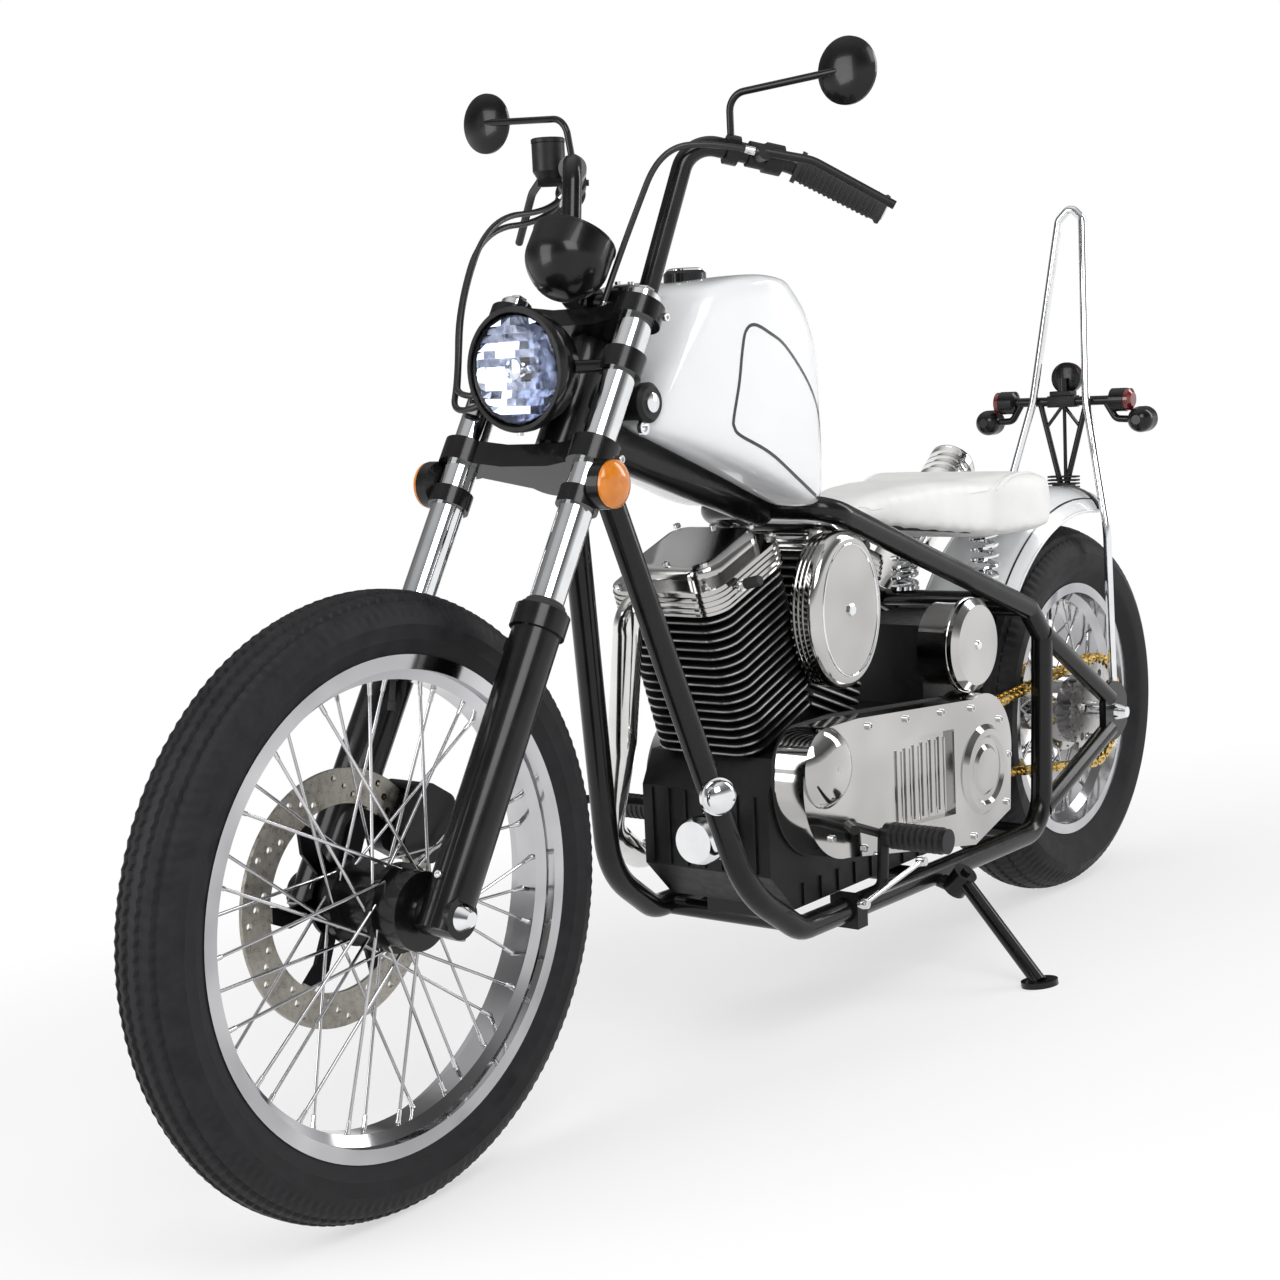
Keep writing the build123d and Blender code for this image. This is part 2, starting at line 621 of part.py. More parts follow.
def grips():
    end, inboard = grip_line()
    body = turned([(-4, GRIP_RADIUS + 2), (0, GRIP_RADIUS + 3), (4, GRIP_RADIUS), (GRIP_LENGTH - 6, GRIP_RADIUS),
                   (GRIP_LENGTH - 6, GRIP_RADIUS + 4), (GRIP_LENGTH, GRIP_RADIUS + 4)],
                  end, inboard)
    body -= turned([(0, BAR_RADIUS + SEAT_GAP), (GRIP_LENGTH + 5, BAR_RADIUS + SEAT_GAP)],
                   end, inboard)
    return solids(both_sides(body))


def hand_controls():
    """Switch housings, lever perches, the two levers and the right-hand fluid cup."""
    end, grip_way = grip_line()
    corner, inboard = control_line()
    forward = Vector(inboard.Y, -inboard.X, 0).normalized() * -1
    house = corner + inboard * 12
    shell = turned([(0, 19), (22, 19), (24, 16), (44, 16)], house, inboard)
    pivot = house + inboard * 32 + forward * 40
    perch = rod(house + inboard * 32, pivot + forward * 6, 10)
    knuckle = pivot - inboard * 56 + forward * 14
    tip = end + forward * 50
    lever = bent_tube([pivot + inboard * 4, knuckle, tip], 60, 5.5)
    bore = rod(house - inboard * 20, house + inboard * 80, BAR_RADIUS + SEAT_GAP)
    left_set = joined([shell, perch, lever]) - bore
    right_set = mirror(left_set, about=Plane.XZ)
    cup_foot = mirrored_point(house + inboard * 32 + forward * 30)
    cup = turned([(0, 16), (10, 22), (46, 22), (50, 20)], cup_foot, (0, 0, 1))
    return solids([left_set, joined([right_set, cup]) - mirror(bore, about=Plane.XZ)])


def mirrors():
    """Round mirror heads, facing the rider, on thin bent stems clamped to the bar."""
    corner, inboard = control_line()
    clamp = corner + inboard * 77
    x, y, z = MIRROR_AT
    head = turned(
        [(-2, MIRROR_RADIUS - 4), (0, MIRROR_RADIUS), (4, MIRROR_RADIUS),
         ((MIRROR_DEPTH * 0.8, MIRROR_RADIUS * 0.6), (MIRROR_DEPTH, 3))],
        MIRROR_AT, (1, 0, 0))
    band = turned([(-8, BAR_RADIUS + 6), (8, BAR_RADIUS + 6)], clamp, inboard)
    band -= turned([(-20, BAR_RADIUS + SEAT_GAP), (20, BAR_RADIUS + SEAT_GAP)], clamp, inboard)
    foot = clamp + Vector(0, 0, BAR_RADIUS + 3)
    knee = clamp + Vector(6, 4, 66)
    stem = bent_tube([foot, knee, (x + MIRROR_DEPTH - 4, y - 8, z)], 24, 4.5)
    return solids(both_sides(joined([head, band, stem])))


def front_signals():
    """Short signal cups on the outer sides of the fork tubes, each on a clamp round its tube."""
    x, y, z = FRONT_SIGNAL_AT
    r = FRONT_SIGNAL_RADIUS
    cup = turned([(0, r - 9), (6, r), (FRONT_SIGNAL_LENGTH, r)], FRONT_SIGNAL_AT)
    tube_up = (z - FRONT_AXLE[2]) / LEG_UP[2]
    clamp = FORK * Pos(0, FORK_HALF, tube_up - 32) * extrude(Circle(FORK_TUBE_RADIUS + 5), 22)
    body = joined([cup, clamp])
    body -= FORK * Pos(0, FORK_HALF, tube_up - 120) * extrude(Circle(FORK_TUBE_RADIUS + SEAT_GAP), 240)
    yoke_low = LOWER_YOKE_AT - SEAT_GAP
    body -= FORK * Pos(0, FORK_HALF, yoke_low) * extrude(Circle(YOKE_BOSS_RADIUS + SEAT_GAP), 60)
    return solids(both_sides(body))


def front_lenses():
    start = FRONT_SIGNAL_LENGTH + SEAT_GAP
    r = FRONT_SIGNAL_RADIUS
    lens = turned([(start, r - 1), (start + 4, r - 1), ((start + 10, r * 0.7), (start + 13, 2))], FRONT_SIGNAL_AT)
    return solids(both_sides(lens))


def brake_caliper():
    """The caliper straddles the disc behind the right leg, on two lugs of the slider."""
    slot = DISC_THICKNESS / 2 + RUN_GAP
    body = Pos(-SLIDER_RADIUS - 42, DISC_Y, 118) * Box(64, 62, 86)
    body = fillet(body.edges().filter_by(Axis.Y), 16)
    gap_ring = Pos(0, DISC_Y, 0) * turned([(-slot, DISC_RADIUS + RUN_GAP), (slot, DISC_RADIUS + RUN_GAP)], (0, 0, 0))
    lug = Pos(-SLIDER_RADIUS - 6, -FORK_HALF + 10, 118) * Box(30, 22, 70)
    body = joined([body, lug]) - gap_ring
    leg = Pos(0, -FORK_HALF, 0) * extrude(Circle(SLIDER_RADIUS + SEAT_GAP), SLIDER_TOP)
    return FORK * (body - leg)


def control_cables():
    """Two throttle cables to the lamp's bowl on the right and the clutch cable to the upper yoke."""
    return solids([bent_tube(points, 24, CABLE_RADIUS) for points in CABLE_ROUTES])


# ---- frame ----
def seat_post(radius):
    """The left cradle loop: down tube, bottom rail and seat post in one bent tube."""
    route = [DOWNTUBE_TOP, DOWNTUBE_KNEE, RAIL_FRONT, RAIL_REAR, SEAT_POST_TOP]
    return bent_tube(route, [150, 60, 60], radius)


def seat_rail(radius):
    """The left seat rail, from the backbone's end back and down to the seat post."""
    return bent_tube([BACKBONE_REAR, SEAT_RAIL_KNEE, SEAT_RAIL_REAR, SEAT_POST_TOP], [40, 24], radius)


def stand_bracket():
    """A lug on the left rail with the pin that the side stand turns on."""
    pivot = Vector(*STAND_PIVOT)
    axis = stand_axis()
    top = pivot - axis * (STAND_EYE_HALF + SEAT_GAP)
    lug = rod(top - axis * 12, top, STAND_EYE_RADIUS)
    pin = rod(top - axis * 12, pivot + axis * (STAND_EYE_HALF + 6), STAND_PIN_RADIUS)
    arm = rod((pivot.X, RAIL_Y, RAIL_HEIGHT - 8), top - axis * 6, 11)
    reach = STAND_EYE_HALF + SEAT_GAP
    room = turned([(-reach, STAND_EYE_RADIUS + 3), (reach, STAND_EYE_RADIUS + 3)], pivot, axis)
    return joined([lug, arm - room, pin])


def frame_main():
    """Steering neck, backbone, two cradle loops with seat rails, and their cross tubes."""
    bore = FORK * Pos(-STEM_SETBACK, 0, NECK_FROM - 5) * extrude(Circle(22), NECK_TO - NECK_FROM + 10)
    neck = FORK * Pos(-STEM_SETBACK, 0, NECK_FROM) * extrude(Circle(NECK_RADIUS), NECK_TO - NECK_FROM)
    neck_point = on_fork(-STEM_SETBACK, 0, BACKBONE_UP)
    parts = [neck, rod(neck_point, BACKBONE_REAR, BACKBONE_RADIUS)]
    parts += both_sides(seat_post(TUBE_RADIUS))
    parts += both_sides(seat_rail(TUBE_RADIUS))
    spring_z = SEAT_RAIL_REAR[2] + rail_slope() * (SPRING_X - SEAT_RAIL_REAR[0])
    crossings = [(300.0, RAIL_HEIGHT - 5), (SPRING_X, spring_z), fender_cross()]
    crossings += [(x, RAIL_HEIGHT) for x in ENGINE_MOUNTS_X]
    for x, z in crossings:
        parts.append(rod((x, -RAIL_Y, z), (x, RAIL_Y, z), CROSS_RADIUS))
    case_bottom = CRANK_AT[1] - CASE_BELOW
    for x in ENGINE_MOUNTS_X:
        parts.append(Pos(x, 0, (RAIL_HEIGHT + case_bottom) / 2) * Box(24, 90, case_bottom - RAIL_HEIGHT - SEAT_GAP))
    parts.append(stand_bracket())
    return joined(parts) - bore


def rail_slope():
    return (SEAT_RAIL_KNEE[2] - SEAT_RAIL_REAR[2]) / (SEAT_RAIL_KNEE[0] - SEAT_RAIL_REAR[0])


def fender_cross():
    """Place (X, Z) of the cross tube that carries the fender's front edge."""
    radius = FENDER_RADIUS - FENDER_SKIRT / 2
    turn = radians(FENDER_FROM) - (CROSS_RADIUS + SEAT_GAP) / radius
    return (radius * cos(turn), REAR_AXLE[2] + radius * sin(turn))


def rear_fork():
    """Upper and lower stays on each side, meeting at the axle plates."""
    plate_face = outline((44, 42), ((0, 52), (-40, 20)), (-40, -24), ((0, -46), (44, -40)))
    ends = Pos(0, 0, REAR_AXLE[2]) * plate(plate_face, STAY_Y - AXLE_PLATE_HALF, STAY_Y + AXLE_PLATE_HALF)
    upper = rod((SEAT_POST_TOP[0] + 4, RAIL_Y + 4, SEAT_POST_TOP[2] + 4), (20, STAY_Y, REAR_AXLE[2] + 26), STAY_RADIUS)
    lower = rod((RAIL_REAR[0], RAIL_Y + 4, RAIL_REAR[2] + 34), (20, STAY_Y, REAR_AXLE[2] - 26), STAY_RADIUS)
    side = joined([ends, upper, lower])
    side -= turned([(0, AXLE_RADIUS + SEAT_GAP), (300, AXLE_RADIUS + SEAT_GAP)], REAR_AXLE)
    side -= seat_post(TUBE_RADIUS + SEAT_GAP)
    side -= seat_rail(TUBE_RADIUS + SEAT_GAP)
    side = max(side.solids(), key=lambda solid: solid.volume)
    return solids(both_sides(side))


# ---- engine ----
def engine_plane(way):
    """Where a cylinder stands: way is +1 for the front cylinder and -1 for the rear one."""
    lean = radians(CYLINDER_ANGLE) * way
    return Plane(origin=(CRANK_AT[0], 0, CRANK_AT[1]), x_dir=(cos(lean), 0, -sin(lean)), z_dir=(sin(lean), 0, cos(lean)))


def rounded_block(length, width, corner, low, high):
    return Pos(0, 0, low) * extrude(RectangleRounded(length, width, corner), high - low)


def fin_stack(way):
    top = CYLINDER_FROM + FIN_COUNT * FIN_PITCH
    core = rounded_block(BARREL_LENGTH, BARREL_WIDTH, FIN_CORNER - 8, CYLINDER_FROM - 50, top)
    fins = [
        rounded_block(FIN_LENGTH, FIN_WIDTH, FIN_CORNER, level, level + FIN_THICKNESS)
        for level in [CYLINDER_FROM + index * FIN_PITCH for index in range(FIN_COUNT)]]
    return engine_plane(way) * joined([core, *fins])


def cylinder_barrels():
    """Both finned cylinders, trimmed where they meet each other and the crankcase."""
    x, z = CRANK_AT
    halves = []
    for way in (1, -1):
        keep = Pos(x + way * (300 + 1), 0, z + CASE_ABOVE + SEAT_GAP + 300) * Box(600, 400, 600)
        halves.append(fin_stack(way) & keep)
    return solids(halves)


def cylinder_heads():
    top = CYLINDER_FROM + FIN_COUNT * FIN_PITCH
    heads = []
    for way in (1, -1):
        block = rounded_block(FIN_LENGTH + 4, FIN_WIDTH + 6, FIN_CORNER, top, top + HEAD_HEIGHT)
        cover = rounded_block(FIN_LENGTH - 36, FIN_WIDTH - 26, FIN_CORNER, top + HEAD_HEIGHT, top + HEAD_HEIGHT + ROCKER_HEIGHT)
        cover = fillet(cover.faces().sort_by(Axis.Z)[-1].edges(), 16)
        heads.append(engine_plane(way) * joined([block, cover]))
    return solids(heads)


def crankcase():
    """The engine's mass as a block with the outline of crankcase and gearbox."""
    x, z = CRANK_AT
    top = z + CASE_ABOVE
    low = z - CASE_BELOW
    case = outline((x - 296, top), (x + 120, top), (x + 145, z + 70), (x + 145, z - 40), (x + 90, low), (x - 296, low))
    gearbox = outline((x - 430, top), (x - 295, top), (x - 295, low), (x - 400, z - 40), (x - 430, z))
    hub_radius = pitch_radius(FRONT_TEETH) - CHAIN_DEPTH / 2 - 2
    wheel_radius = pitch_radius(FRONT_TEETH) - CHAIN_DEPTH / 4 - SEAT_GAP
    slot = CHAIN_WIDTH / 2 - 4.5
    front_x, front_z = FRONT_SPROCKET_AT
    sprocket_wheel = turned(
        [(GEARBOX_LEFT - 1, hub_radius), (SPROCKET_Y - slot, hub_radius), (SPROCKET_Y - slot, wheel_radius),
         (SPROCKET_Y + slot, wheel_radius)],
        (front_x, 0, front_z))
    return joined([
        plate(case, -CRANKCASE_RIGHT, CRANKCASE_LEFT),
        plate(gearbox, -CRANKCASE_RIGHT, GEARBOX_LEFT),
        sprocket_wheel])


def left_engine_cover():
    """The cast cover: a plate with a sunk panel, a stepped boss behind and a dome in front."""
    case_y = CRANKCASE_LEFT + SEAT_GAP
    rim_y = COVER_FACE_Y - 7
    body = outline(
        (868, 446), (545, 422), ((455, 400), (430, 320)), (436, 236), (548, 204), (905, 262),
        ((990, 310), (1006, 393)), ((985, 434), (953, 446)))
    panel = outline((784, 400), (606, 388), (606, 262), (784, 275))
    cover = plate(body, case_y, rim_y) - plate(panel, rim_y - 9, rim_y + 1)
    front_x, front_z, front_radius = COVER_DOME
    dome = turned(
        [(case_y, front_radius), (rim_y + 2, front_radius), ((rim_y + 14, front_radius * 0.8), (rim_y + 20, 2))],
        (front_x, 0, front_z))
    rear_x, rear_z, rear_radius = COVER_BOSS
    boss = turned(
        [(case_y, rear_radius), (rim_y, rear_radius), (COVER_FACE_Y, rear_radius - 7),
         (COVER_FACE_Y, rear_radius - 16), (COVER_FACE_Y - 5, rear_radius - 21), (COVER_FACE_Y - 5, rear_radius - 30),
         (COVER_FACE_Y - 1, rear_radius - 36)],
        (rear_x, 0, rear_z))
    return joined([cover, dome, boss])


def right_engine_cover():
    """The cover on the other side: three turned lobes on a rounded plate."""
    case_y = CRANKCASE_RIGHT + SEAT_GAP
    face_y = COVER_FACE_Y - 10
    body = outline((850, 449), (470, 410), ((390, 330), (470, 250)), (850, 241), ((952, 345), (850, 449)))
    cover = plate(body, case_y, face_y - 12)
    bosses = [
        turned([(case_y + 20, radius), (face_y - 10, radius), (face_y, radius - 14)], (x, 0, z))
        for x, z, radius in COVER_LOBES]
    return mirror(joined([cover, *bosses]), about=Plane.XZ)


def intake_cover():
    """The oval polished cover between the cylinders on the left, on its ribbed body."""
    seat_y = FIN_WIDTH / 2 + 3 + SEAT_GAP
    body = plate(Ellipse(82, 102), seat_y, 114)
    ribs = [plate(Ellipse(86, 106), rib_y, rib_y + 3) for rib_y in INTAKE_RIBS_Y]
    lid = plate(Ellipse(88, 108), 114, 134)
    lid = fillet(lid.faces().sort_by(Axis.Y)[-1].edges(), 14)
    return Pos(838, 0, 589) * joined([body, lid, *ribs])


def electrics_canister():
    """A round polished canister on the battery box's left side."""
    return Pos(499, 0, 496) * turned(
        [(BOX_HALF + SEAT_GAP, 62), (118, 62), (122, 70), (136, 70), (144, 60)], (0, 0, 0))


def battery_box():
    """The black box on top of the gearbox, behind the rear cylinder."""
    bottom = CRANK_AT[1] + CASE_ABOVE + SEAT_GAP
    return Pos(450, 0, bottom + 60) * Box(190, 2 * BOX_HALF, 120)


def exhaust():
    """Two chrome headers on the right that join into one upswept muffler outside the frame."""
    muffler_from = Vector(560.0, -EXHAUST_Y, 262.0)
    muffler_to = Vector(-70.0, -EXHAUST_Y, 735.0)
    direction = (muffler_to - muffler_from).normalized()
    length = (muffler_to - muffler_from).length
    ribs = []
    for index in range(3):
        start = length - 60 + 16 * index
        ribs += [(start, 42), (start + 3, 36), (start + 10, 36), (start + 13, 42)]
    muffler = turned([(0, 22), (50, 42), *ribs, (length, 42)], muffler_from, direction)
    muffler -= turned([(length - 50, 30), (length + 1, 30)], muffler_from, direction)
    ports = [exhaust_port(way, 0) for way in (1, -1)]
    stubs = [exhaust_port(way, 30) for way in (1, -1)]
    front = bent_tube(
        [ports[0], stubs[0], (1066, -92, 430), (1010, -168, 290), (900, -EXHAUST_Y, 225),
         (640, -EXHAUST_Y, 225), muffler_from + direction * 20],
        [22, 90, 90, 60, 60], 20)
    rear = bent_tube(
        [ports[1], stubs[1], (588, -180, 480), (588, -EXHAUST_Y, 400), (600, -EXHAUST_Y, 240)],
        [22, 50, 50], 18)
    return joined([muffler, front, rear])


def exhaust_port(way, out):
    """The middle of a head's outer face, where its header starts, or a point so far out from it."""
    rise = CYLINDER_FROM + FIN_COUNT * FIN_PITCH + HEAD_HEIGHT / 2
    reach = (FIN_LENGTH + 4) / 2 + SEAT_GAP
    return engine_plane(way).from_local_coords(Vector(way * (reach + out), -30, rise))


# ---- bodywork ----
def fuel_tank():
    """A tall tank: side outline and plan outline crossed, with a tunnel for the backbone."""
    side = outline(
        (1188, 850), (1122, 988), ((1106, 1018), (1070, 1030)), ((1010, 1040), (950, 1034)),
        ((890, 960), (866, 790)), (864, 723))
    tank = plate(side, -TANK_HALF, TANK_HALF)
    plan = outline(
        (1200, -46), (1200, 46), ((1090, 118), (960, TANK_HALF)), ((890, 130), (860, 103)), (860, -103),
        ((890, -130), (960, -TANK_HALF)), ((1090, -118), (1200, -46)))
    tank = tank & extrude(Plane.XY.offset(600) * plan, 600)
    neck_point = on_fork(-STEM_SETBACK, 0, BACKBONE_UP)
    room = BACKBONE_RADIUS + SEAT_GAP
    tank -= rod(neck_point, BACKBONE_REAR, room)
    below = outline(
        (neck_point[0], neck_point[2]), (BACKBONE_REAR[0], BACKBONE_REAR[2]), (BACKBONE_REAR[0], 600),
        (neck_point[0], 600))
    tank -= plate(below, -room, room)
    return tank - Pos(*CAP_AT) * extrude(Circle(CAP_RADIUS + SEAT_GAP), 60)


def fuel_cap():
    return turned([(SEAT_GAP, CAP_RADIUS), (20, CAP_RADIUS), (24, CAP_RADIUS - 4)], CAP_AT, (0, 0, 1))


def seat():
    """A solo saddle: narrow nose, broad rear, thin pan."""
    plan = outline(
        (706, -58), (706, 58), ((560, 92), (400, 122)), ((210, 125), (140, 0)),
        ((210, -125), (400, -122)), ((560, -92), (706, -58)))
    side = outline(
        (712, 693), (712, 716), ((560, 731), (400, 728)), ((300, 735), (136, 704)), (140, 684),
        (220, SEAT_UNDERSIDE), (400, SEAT_UNDERSIDE))
    return plate(side, -200, 200) & extrude(Plane.XY.offset(600) * plan, 300)


def seat_springs():
    """Two coil springs between the frame's cross tube and the saddle's rear."""
    low = SEAT_RAIL_REAR[2] + rail_slope() * (SPRING_X - SEAT_RAIL_REAR[0]) + CROSS_RADIUS + SEAT_GAP
    high = SEAT_UNDERSIDE - SEAT_GAP
    turns = 5
    pitch = (high - low) / turns
    springs = []
    for side in (1, -1):
        points = [(0, 18)]
        for index in range(turns):
            start = index * pitch
            points += [(start + pitch * 0.2, 24), (start + pitch * 0.6, 24), (start + pitch * 0.8, 18)]
        springs.append(turned(points, (SPRING_X, side * SPRING_Y, low), (0, 0, 1)))
    return solids(springs)


def fender_sweep(radius, half, skirt):
    """The solid that a fender section of this size sweeps over the rear wheel."""
    top = radius - skirt * 0.3
    section = outline(
        (0, radius), ((half * 0.75, top), (half, radius - skirt)), (-half, radius - skirt),
        ((-half * 0.75, top), (0, radius)))
    turn = FENDER_TO - FENDER_FROM
    swept = revolve(Plane.YZ * section, Axis.Y, turn)
    return Pos(*REAR_AXLE) * Rotation(0, 90 - FENDER_FROM - turn, 0) * swept


def rear_fender():
    """A curved guard with side skirts, round the upper half of the rear wheel."""
    outer = fender_sweep(FENDER_RADIUS, FENDER_HALF, FENDER_SKIRT)
    inner = fender_sweep(FENDER_RADIUS - FENDER_WALL, FENDER_HALF - FENDER_WALL, FENDER_SKIRT)
    side_x, tip_x = FENDER_TAIL
    plan = outline(
        (FENDER_RADIUS, -FENDER_HALF - 9), (FENDER_RADIUS, FENDER_HALF + 9), (side_x, FENDER_HALF + 9),
        (side_x, FENDER_HALF), ((tip_x, 0), (side_x, -FENDER_HALF)), (side_x, -FENDER_HALF - 9))
    return (outer - inner) & extrude(Plane.XY.offset(REAR_AXLE[2]) * plan, FENDER_RADIUS + 9)


def sissy_bar():
    """A tall chrome hoop from the axle plates over the fender, bolted to the fender's sides."""
    right = [mirrored_point(point) for point in reversed(SISSY_ROUTE)]
    hoop = bent_tube([*SISSY_ROUTE, SISSY_TOP, *right], [120, 120, 14, 12, 14, 120, 120], SISSY_RADIUS)
    return hoop


def tail_bracket():
    """Black bar across the hoop with its V struts and the four lamp cups."""
    leg_x, leg_y, leg_z = SISSY_ROUTE[2]
    bar_x = leg_x - SISSY_RADIUS - 8 - SEAT_GAP
    bar = rod((bar_x, -96, TAIL_BAR_Z), (bar_x, 96, TAIL_BAR_Z), 8)
    cups = both_sides(turned([(88, 12), (92, 20), (118, 20)], (bar_x, 0, TAIL_BAR_Z)))
    arms = both_sides(bent_tube([(bar_x, 78, TAIL_BAR_Z), (bar_x, 98, 806), (bar_x, 138, 804)], 14, 6))
    bullets = both_sides(turned([(-24, 8), ((-16, 18), (0, 22)), (16, 22)], (bar_x, 144, 804), (-1, 0, 0)))
    foot_x = -95.0
    foot_z = REAR_AXLE[2] + (FENDER_RADIUS**2 - foot_x**2) ** 0.5
    struts = both_sides(rod((foot_x, 4, foot_z + 6), (bar_x, 44, TAIL_BAR_Z), 5))
    pad = Pos(foot_x, 0, foot_z + 8) * Box(30, 30, 12)
    lamp_post = rod((bar_x, 0, TAIL_BAR_Z), (bar_x, 0, TAIL_LAMP_AT[2]), 7)
    body = joined([bar, *cups, *arms, *bullets, *struts, pad, lamp_post])
    envelope = fender_sweep(FENDER_RADIUS + SEAT_GAP, FENDER_HALF + SEAT_GAP, FENDER_SKIRT)
    return body - envelope


def tail_lamp():
    """The round tail lamp on its post, facing back."""
    leg_x = SISSY_ROUTE[2][0]
    face_x = leg_x - SISSY_RADIUS - 8 - SEAT_GAP - 7 - SEAT_GAP
    return turned([(0, 20), (4, 27), (22, 27), (28, 20)], (face_x, 0, TAIL_LAMP_AT[2]), (-1, 0, 0))


def rear_lenses():
    """Lenses of the four rear signal lamps: two on the bar's ends, two facing back."""
    leg_x = SISSY_ROUTE[2][0]
    bar_x = leg_x - SISSY_RADIUS - 8 - SEAT_GAP
    side = turned([(118 + SEAT_GAP, 19), (126, 19), (130, 12)], (bar_x, 0, TAIL_BAR_Z))
    back = turned([(16 + SEAT_GAP, 21), (20, 21), (26, 12)], (bar_x, 144, 804), (-1, 0, 0))
    return solids([*both_sides(side), *both_sides(back)])


def foot_controls():
    """Pegs on brackets from the rails, with the shift lever on the left and the brake on the right."""
    sides = []
    for way, reach in FOOT_BRACKETS:
        bracket = bent_tube(
            [(PEG_X, way * RAIL_Y, RAIL_HEIGHT), (PEG_X, way * (reach - 4), PEG_HEIGHT - 72), (PEG_X, way * reach, PEG_HEIGHT)],
            20, 8)
        peg = rod((PEG_X, way * (reach + 5), PEG_HEIGHT), (PEG_X, way * (reach + 100), PEG_HEIGHT), PEG_RADIUS)
        stem = rod((PEG_X, way * (reach - 4), PEG_HEIGHT), (PEG_X, way * (reach + 30), PEG_HEIGHT), 9)
        clamp = Pos(PEG_X, way * RAIL_Y, RAIL_HEIGHT) * Box(26, 2 * TUBE_RADIUS + 10, 2 * TUBE_RADIUS + 10)
        lever = bent_tube(
            [(PEG_X, way * reach, PEG_HEIGHT), (PEG_X + 90, way * reach, PEG_HEIGHT + 32),
             (PEG_X + 160, way * (reach + 54), PEG_HEIGHT + 44)],
            20, 6)
        sides.append(joined([bracket, peg, stem, clamp, lever]))
    rails = both_sides(seat_post(TUBE_RADIUS + SEAT_GAP))
    return solids([sides[0] - rails[0], sides[1] - rails[1]])


def stand_axis():
    """The hinge line that carries the stand from its deployed to its stowed direction."""
    pivot = Vector(*STAND_PIVOT)
    foot = Vector(STAND_FOOT[0], STAND_FOOT[1], STAND_FOOT[1] * tan(radians(LEAN)))
    deployed = (foot - pivot).normalized()
    return deployed.cross(Vector(*STAND_STOWED)).normalized()


def side_stand():
    """The stand's leg, pivot eye and foot pad, swung out and forward to its stop."""
    pivot = Vector(*STAND_PIVOT)
    axis = stand_axis()
    foot = Vector(STAND_FOOT[0], STAND_FOOT[1], STAND_FOOT[1] * tan(radians(LEAN)))
    up = Vector(0, -sin(radians(LEAN)), cos(radians(LEAN)))
    pad = turned([(0, STAND_FOOT_RADIUS), (STAND_FOOT_THICKNESS, STAND_FOOT_RADIUS)], foot, up)
    leg = rod(pivot, foot + up * (STAND_FOOT_THICKNESS / 2), STAND_LEG_RADIUS)
    eye = turned([(-STAND_EYE_HALF, STAND_EYE_RADIUS), (STAND_EYE_HALF, STAND_EYE_RADIUS)], pivot, axis)
    bore = turned(
        [(-STAND_EYE_HALF - 1, STAND_PIN_RADIUS + SEAT_GAP), (STAND_EYE_HALF + 1, STAND_PIN_RADIUS + SEAT_GAP)],
        pivot, axis)
    foot_cut = Plane(origin=foot, z_dir=up) * Pos(0, 0, -50) * Box(400, 400, 100)
    return joined([leg, pad, eye]) - bore - foot_cut


NODES = {
    "front_tyre": lambda: tyre(
        FRONT_AXLE, FRONT_TYRE_RADIUS, FRONT_TYRE_WIDTH, FRONT_CROWN_RADIUS, FRONT_SHOULDER,
        FRONT_BEAD_RADIUS, FRONT_RIM_WIDTH),
    "front_rim": front_rim,
    "front_hub": front_hub,
    "brake_disc": brake_disc,
    "rear_tyre": lambda: tyre(
        REAR_AXLE, REAR_TYRE_RADIUS, REAR_TYRE_WIDTH, REAR_CROWN_RADIUS, REAR_SHOULDER,
        REAR_BEAD_RADIUS, REAR_RIM_WIDTH),
    "rear_rim": rear_rim,
    "rear_hub": rear_hub,
    "sprocket": sprocket,
    "front_axle": front_axle,
    "fork_tubes": fork_tubes,
    "fork_sliders": fork_sliders,
    "fork_yokes": fork_yokes,
    "headlight_shell": headlight_shell,
    "headlight_lens": headlight_lens,
    "speedometer": speedometer,
    "handlebar": handlebar,
    "grips": grips,
    "hand_controls": hand_controls,
    "mirrors": mirrors,
    "front_signals": front_signals,
    "front_lenses": front_lenses,
    "brake_caliper": brake_caliper,
    "control_cables": control_cables,
    "frame_main": frame_main,
    "rear_fork": rear_fork,
    "rear_axle": rear_axle,
    "crankcase": crankcase,
    "cylinder_barrels": cylinder_barrels,
    "cylinder_heads": cylinder_heads,
    "left_engine_cover": left_engine_cover,
    "right_engine_cover": right_engine_cover,
    "intake_cover": intake_cover,
    "electrics_canister": electrics_canister,
    "battery_box": battery_box,
    "exhaust": exhaust,
    "drive_chain": drive_chain,
    "fuel_tank": fuel_tank,
    "fuel_cap": fuel_cap,
    "seat": seat,
    "seat_springs": seat_springs,
    "rear_fender": rear_fender,
    "sissy_bar": sissy_bar,
    "tail_bracket": tail_bracket,
    "tail_lamp": tail_lamp,
    "rear_lenses": rear_lenses,
    "foot_controls": foot_controls,
    "side_stand": side_stand,
}


def leaned(shape):
    """The shape as the parked bike holds it."""
    return Rotation(-LEAN, 0, 0) * shape


def main():
    os.makedirs("parts", exist_ok=True)
    built = {name: leaned(make()) for name, make in NODES.items()}
    box = Compound(children=[solid for shape in built.values() for solid in shape.solids()]).bounding_box()
    shift = Pos(-(box.min.X + box.max.X) / 2, -(box.min.Y + box.max.Y) / 2, -box.min.Z)
    for name, shape in built.items():
        export_step(shift * shape, f"parts/{name}.step")
    return shift


if __name__ == "__main__":
    main()
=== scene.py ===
"""Looks for the chopper motorcycle: materials, tread, trim, cables, lights and camera."""
import json
from bisect import bisect_left
from math import acos, atan2, cos, degrees, hypot, pi, radians, sin, sqrt

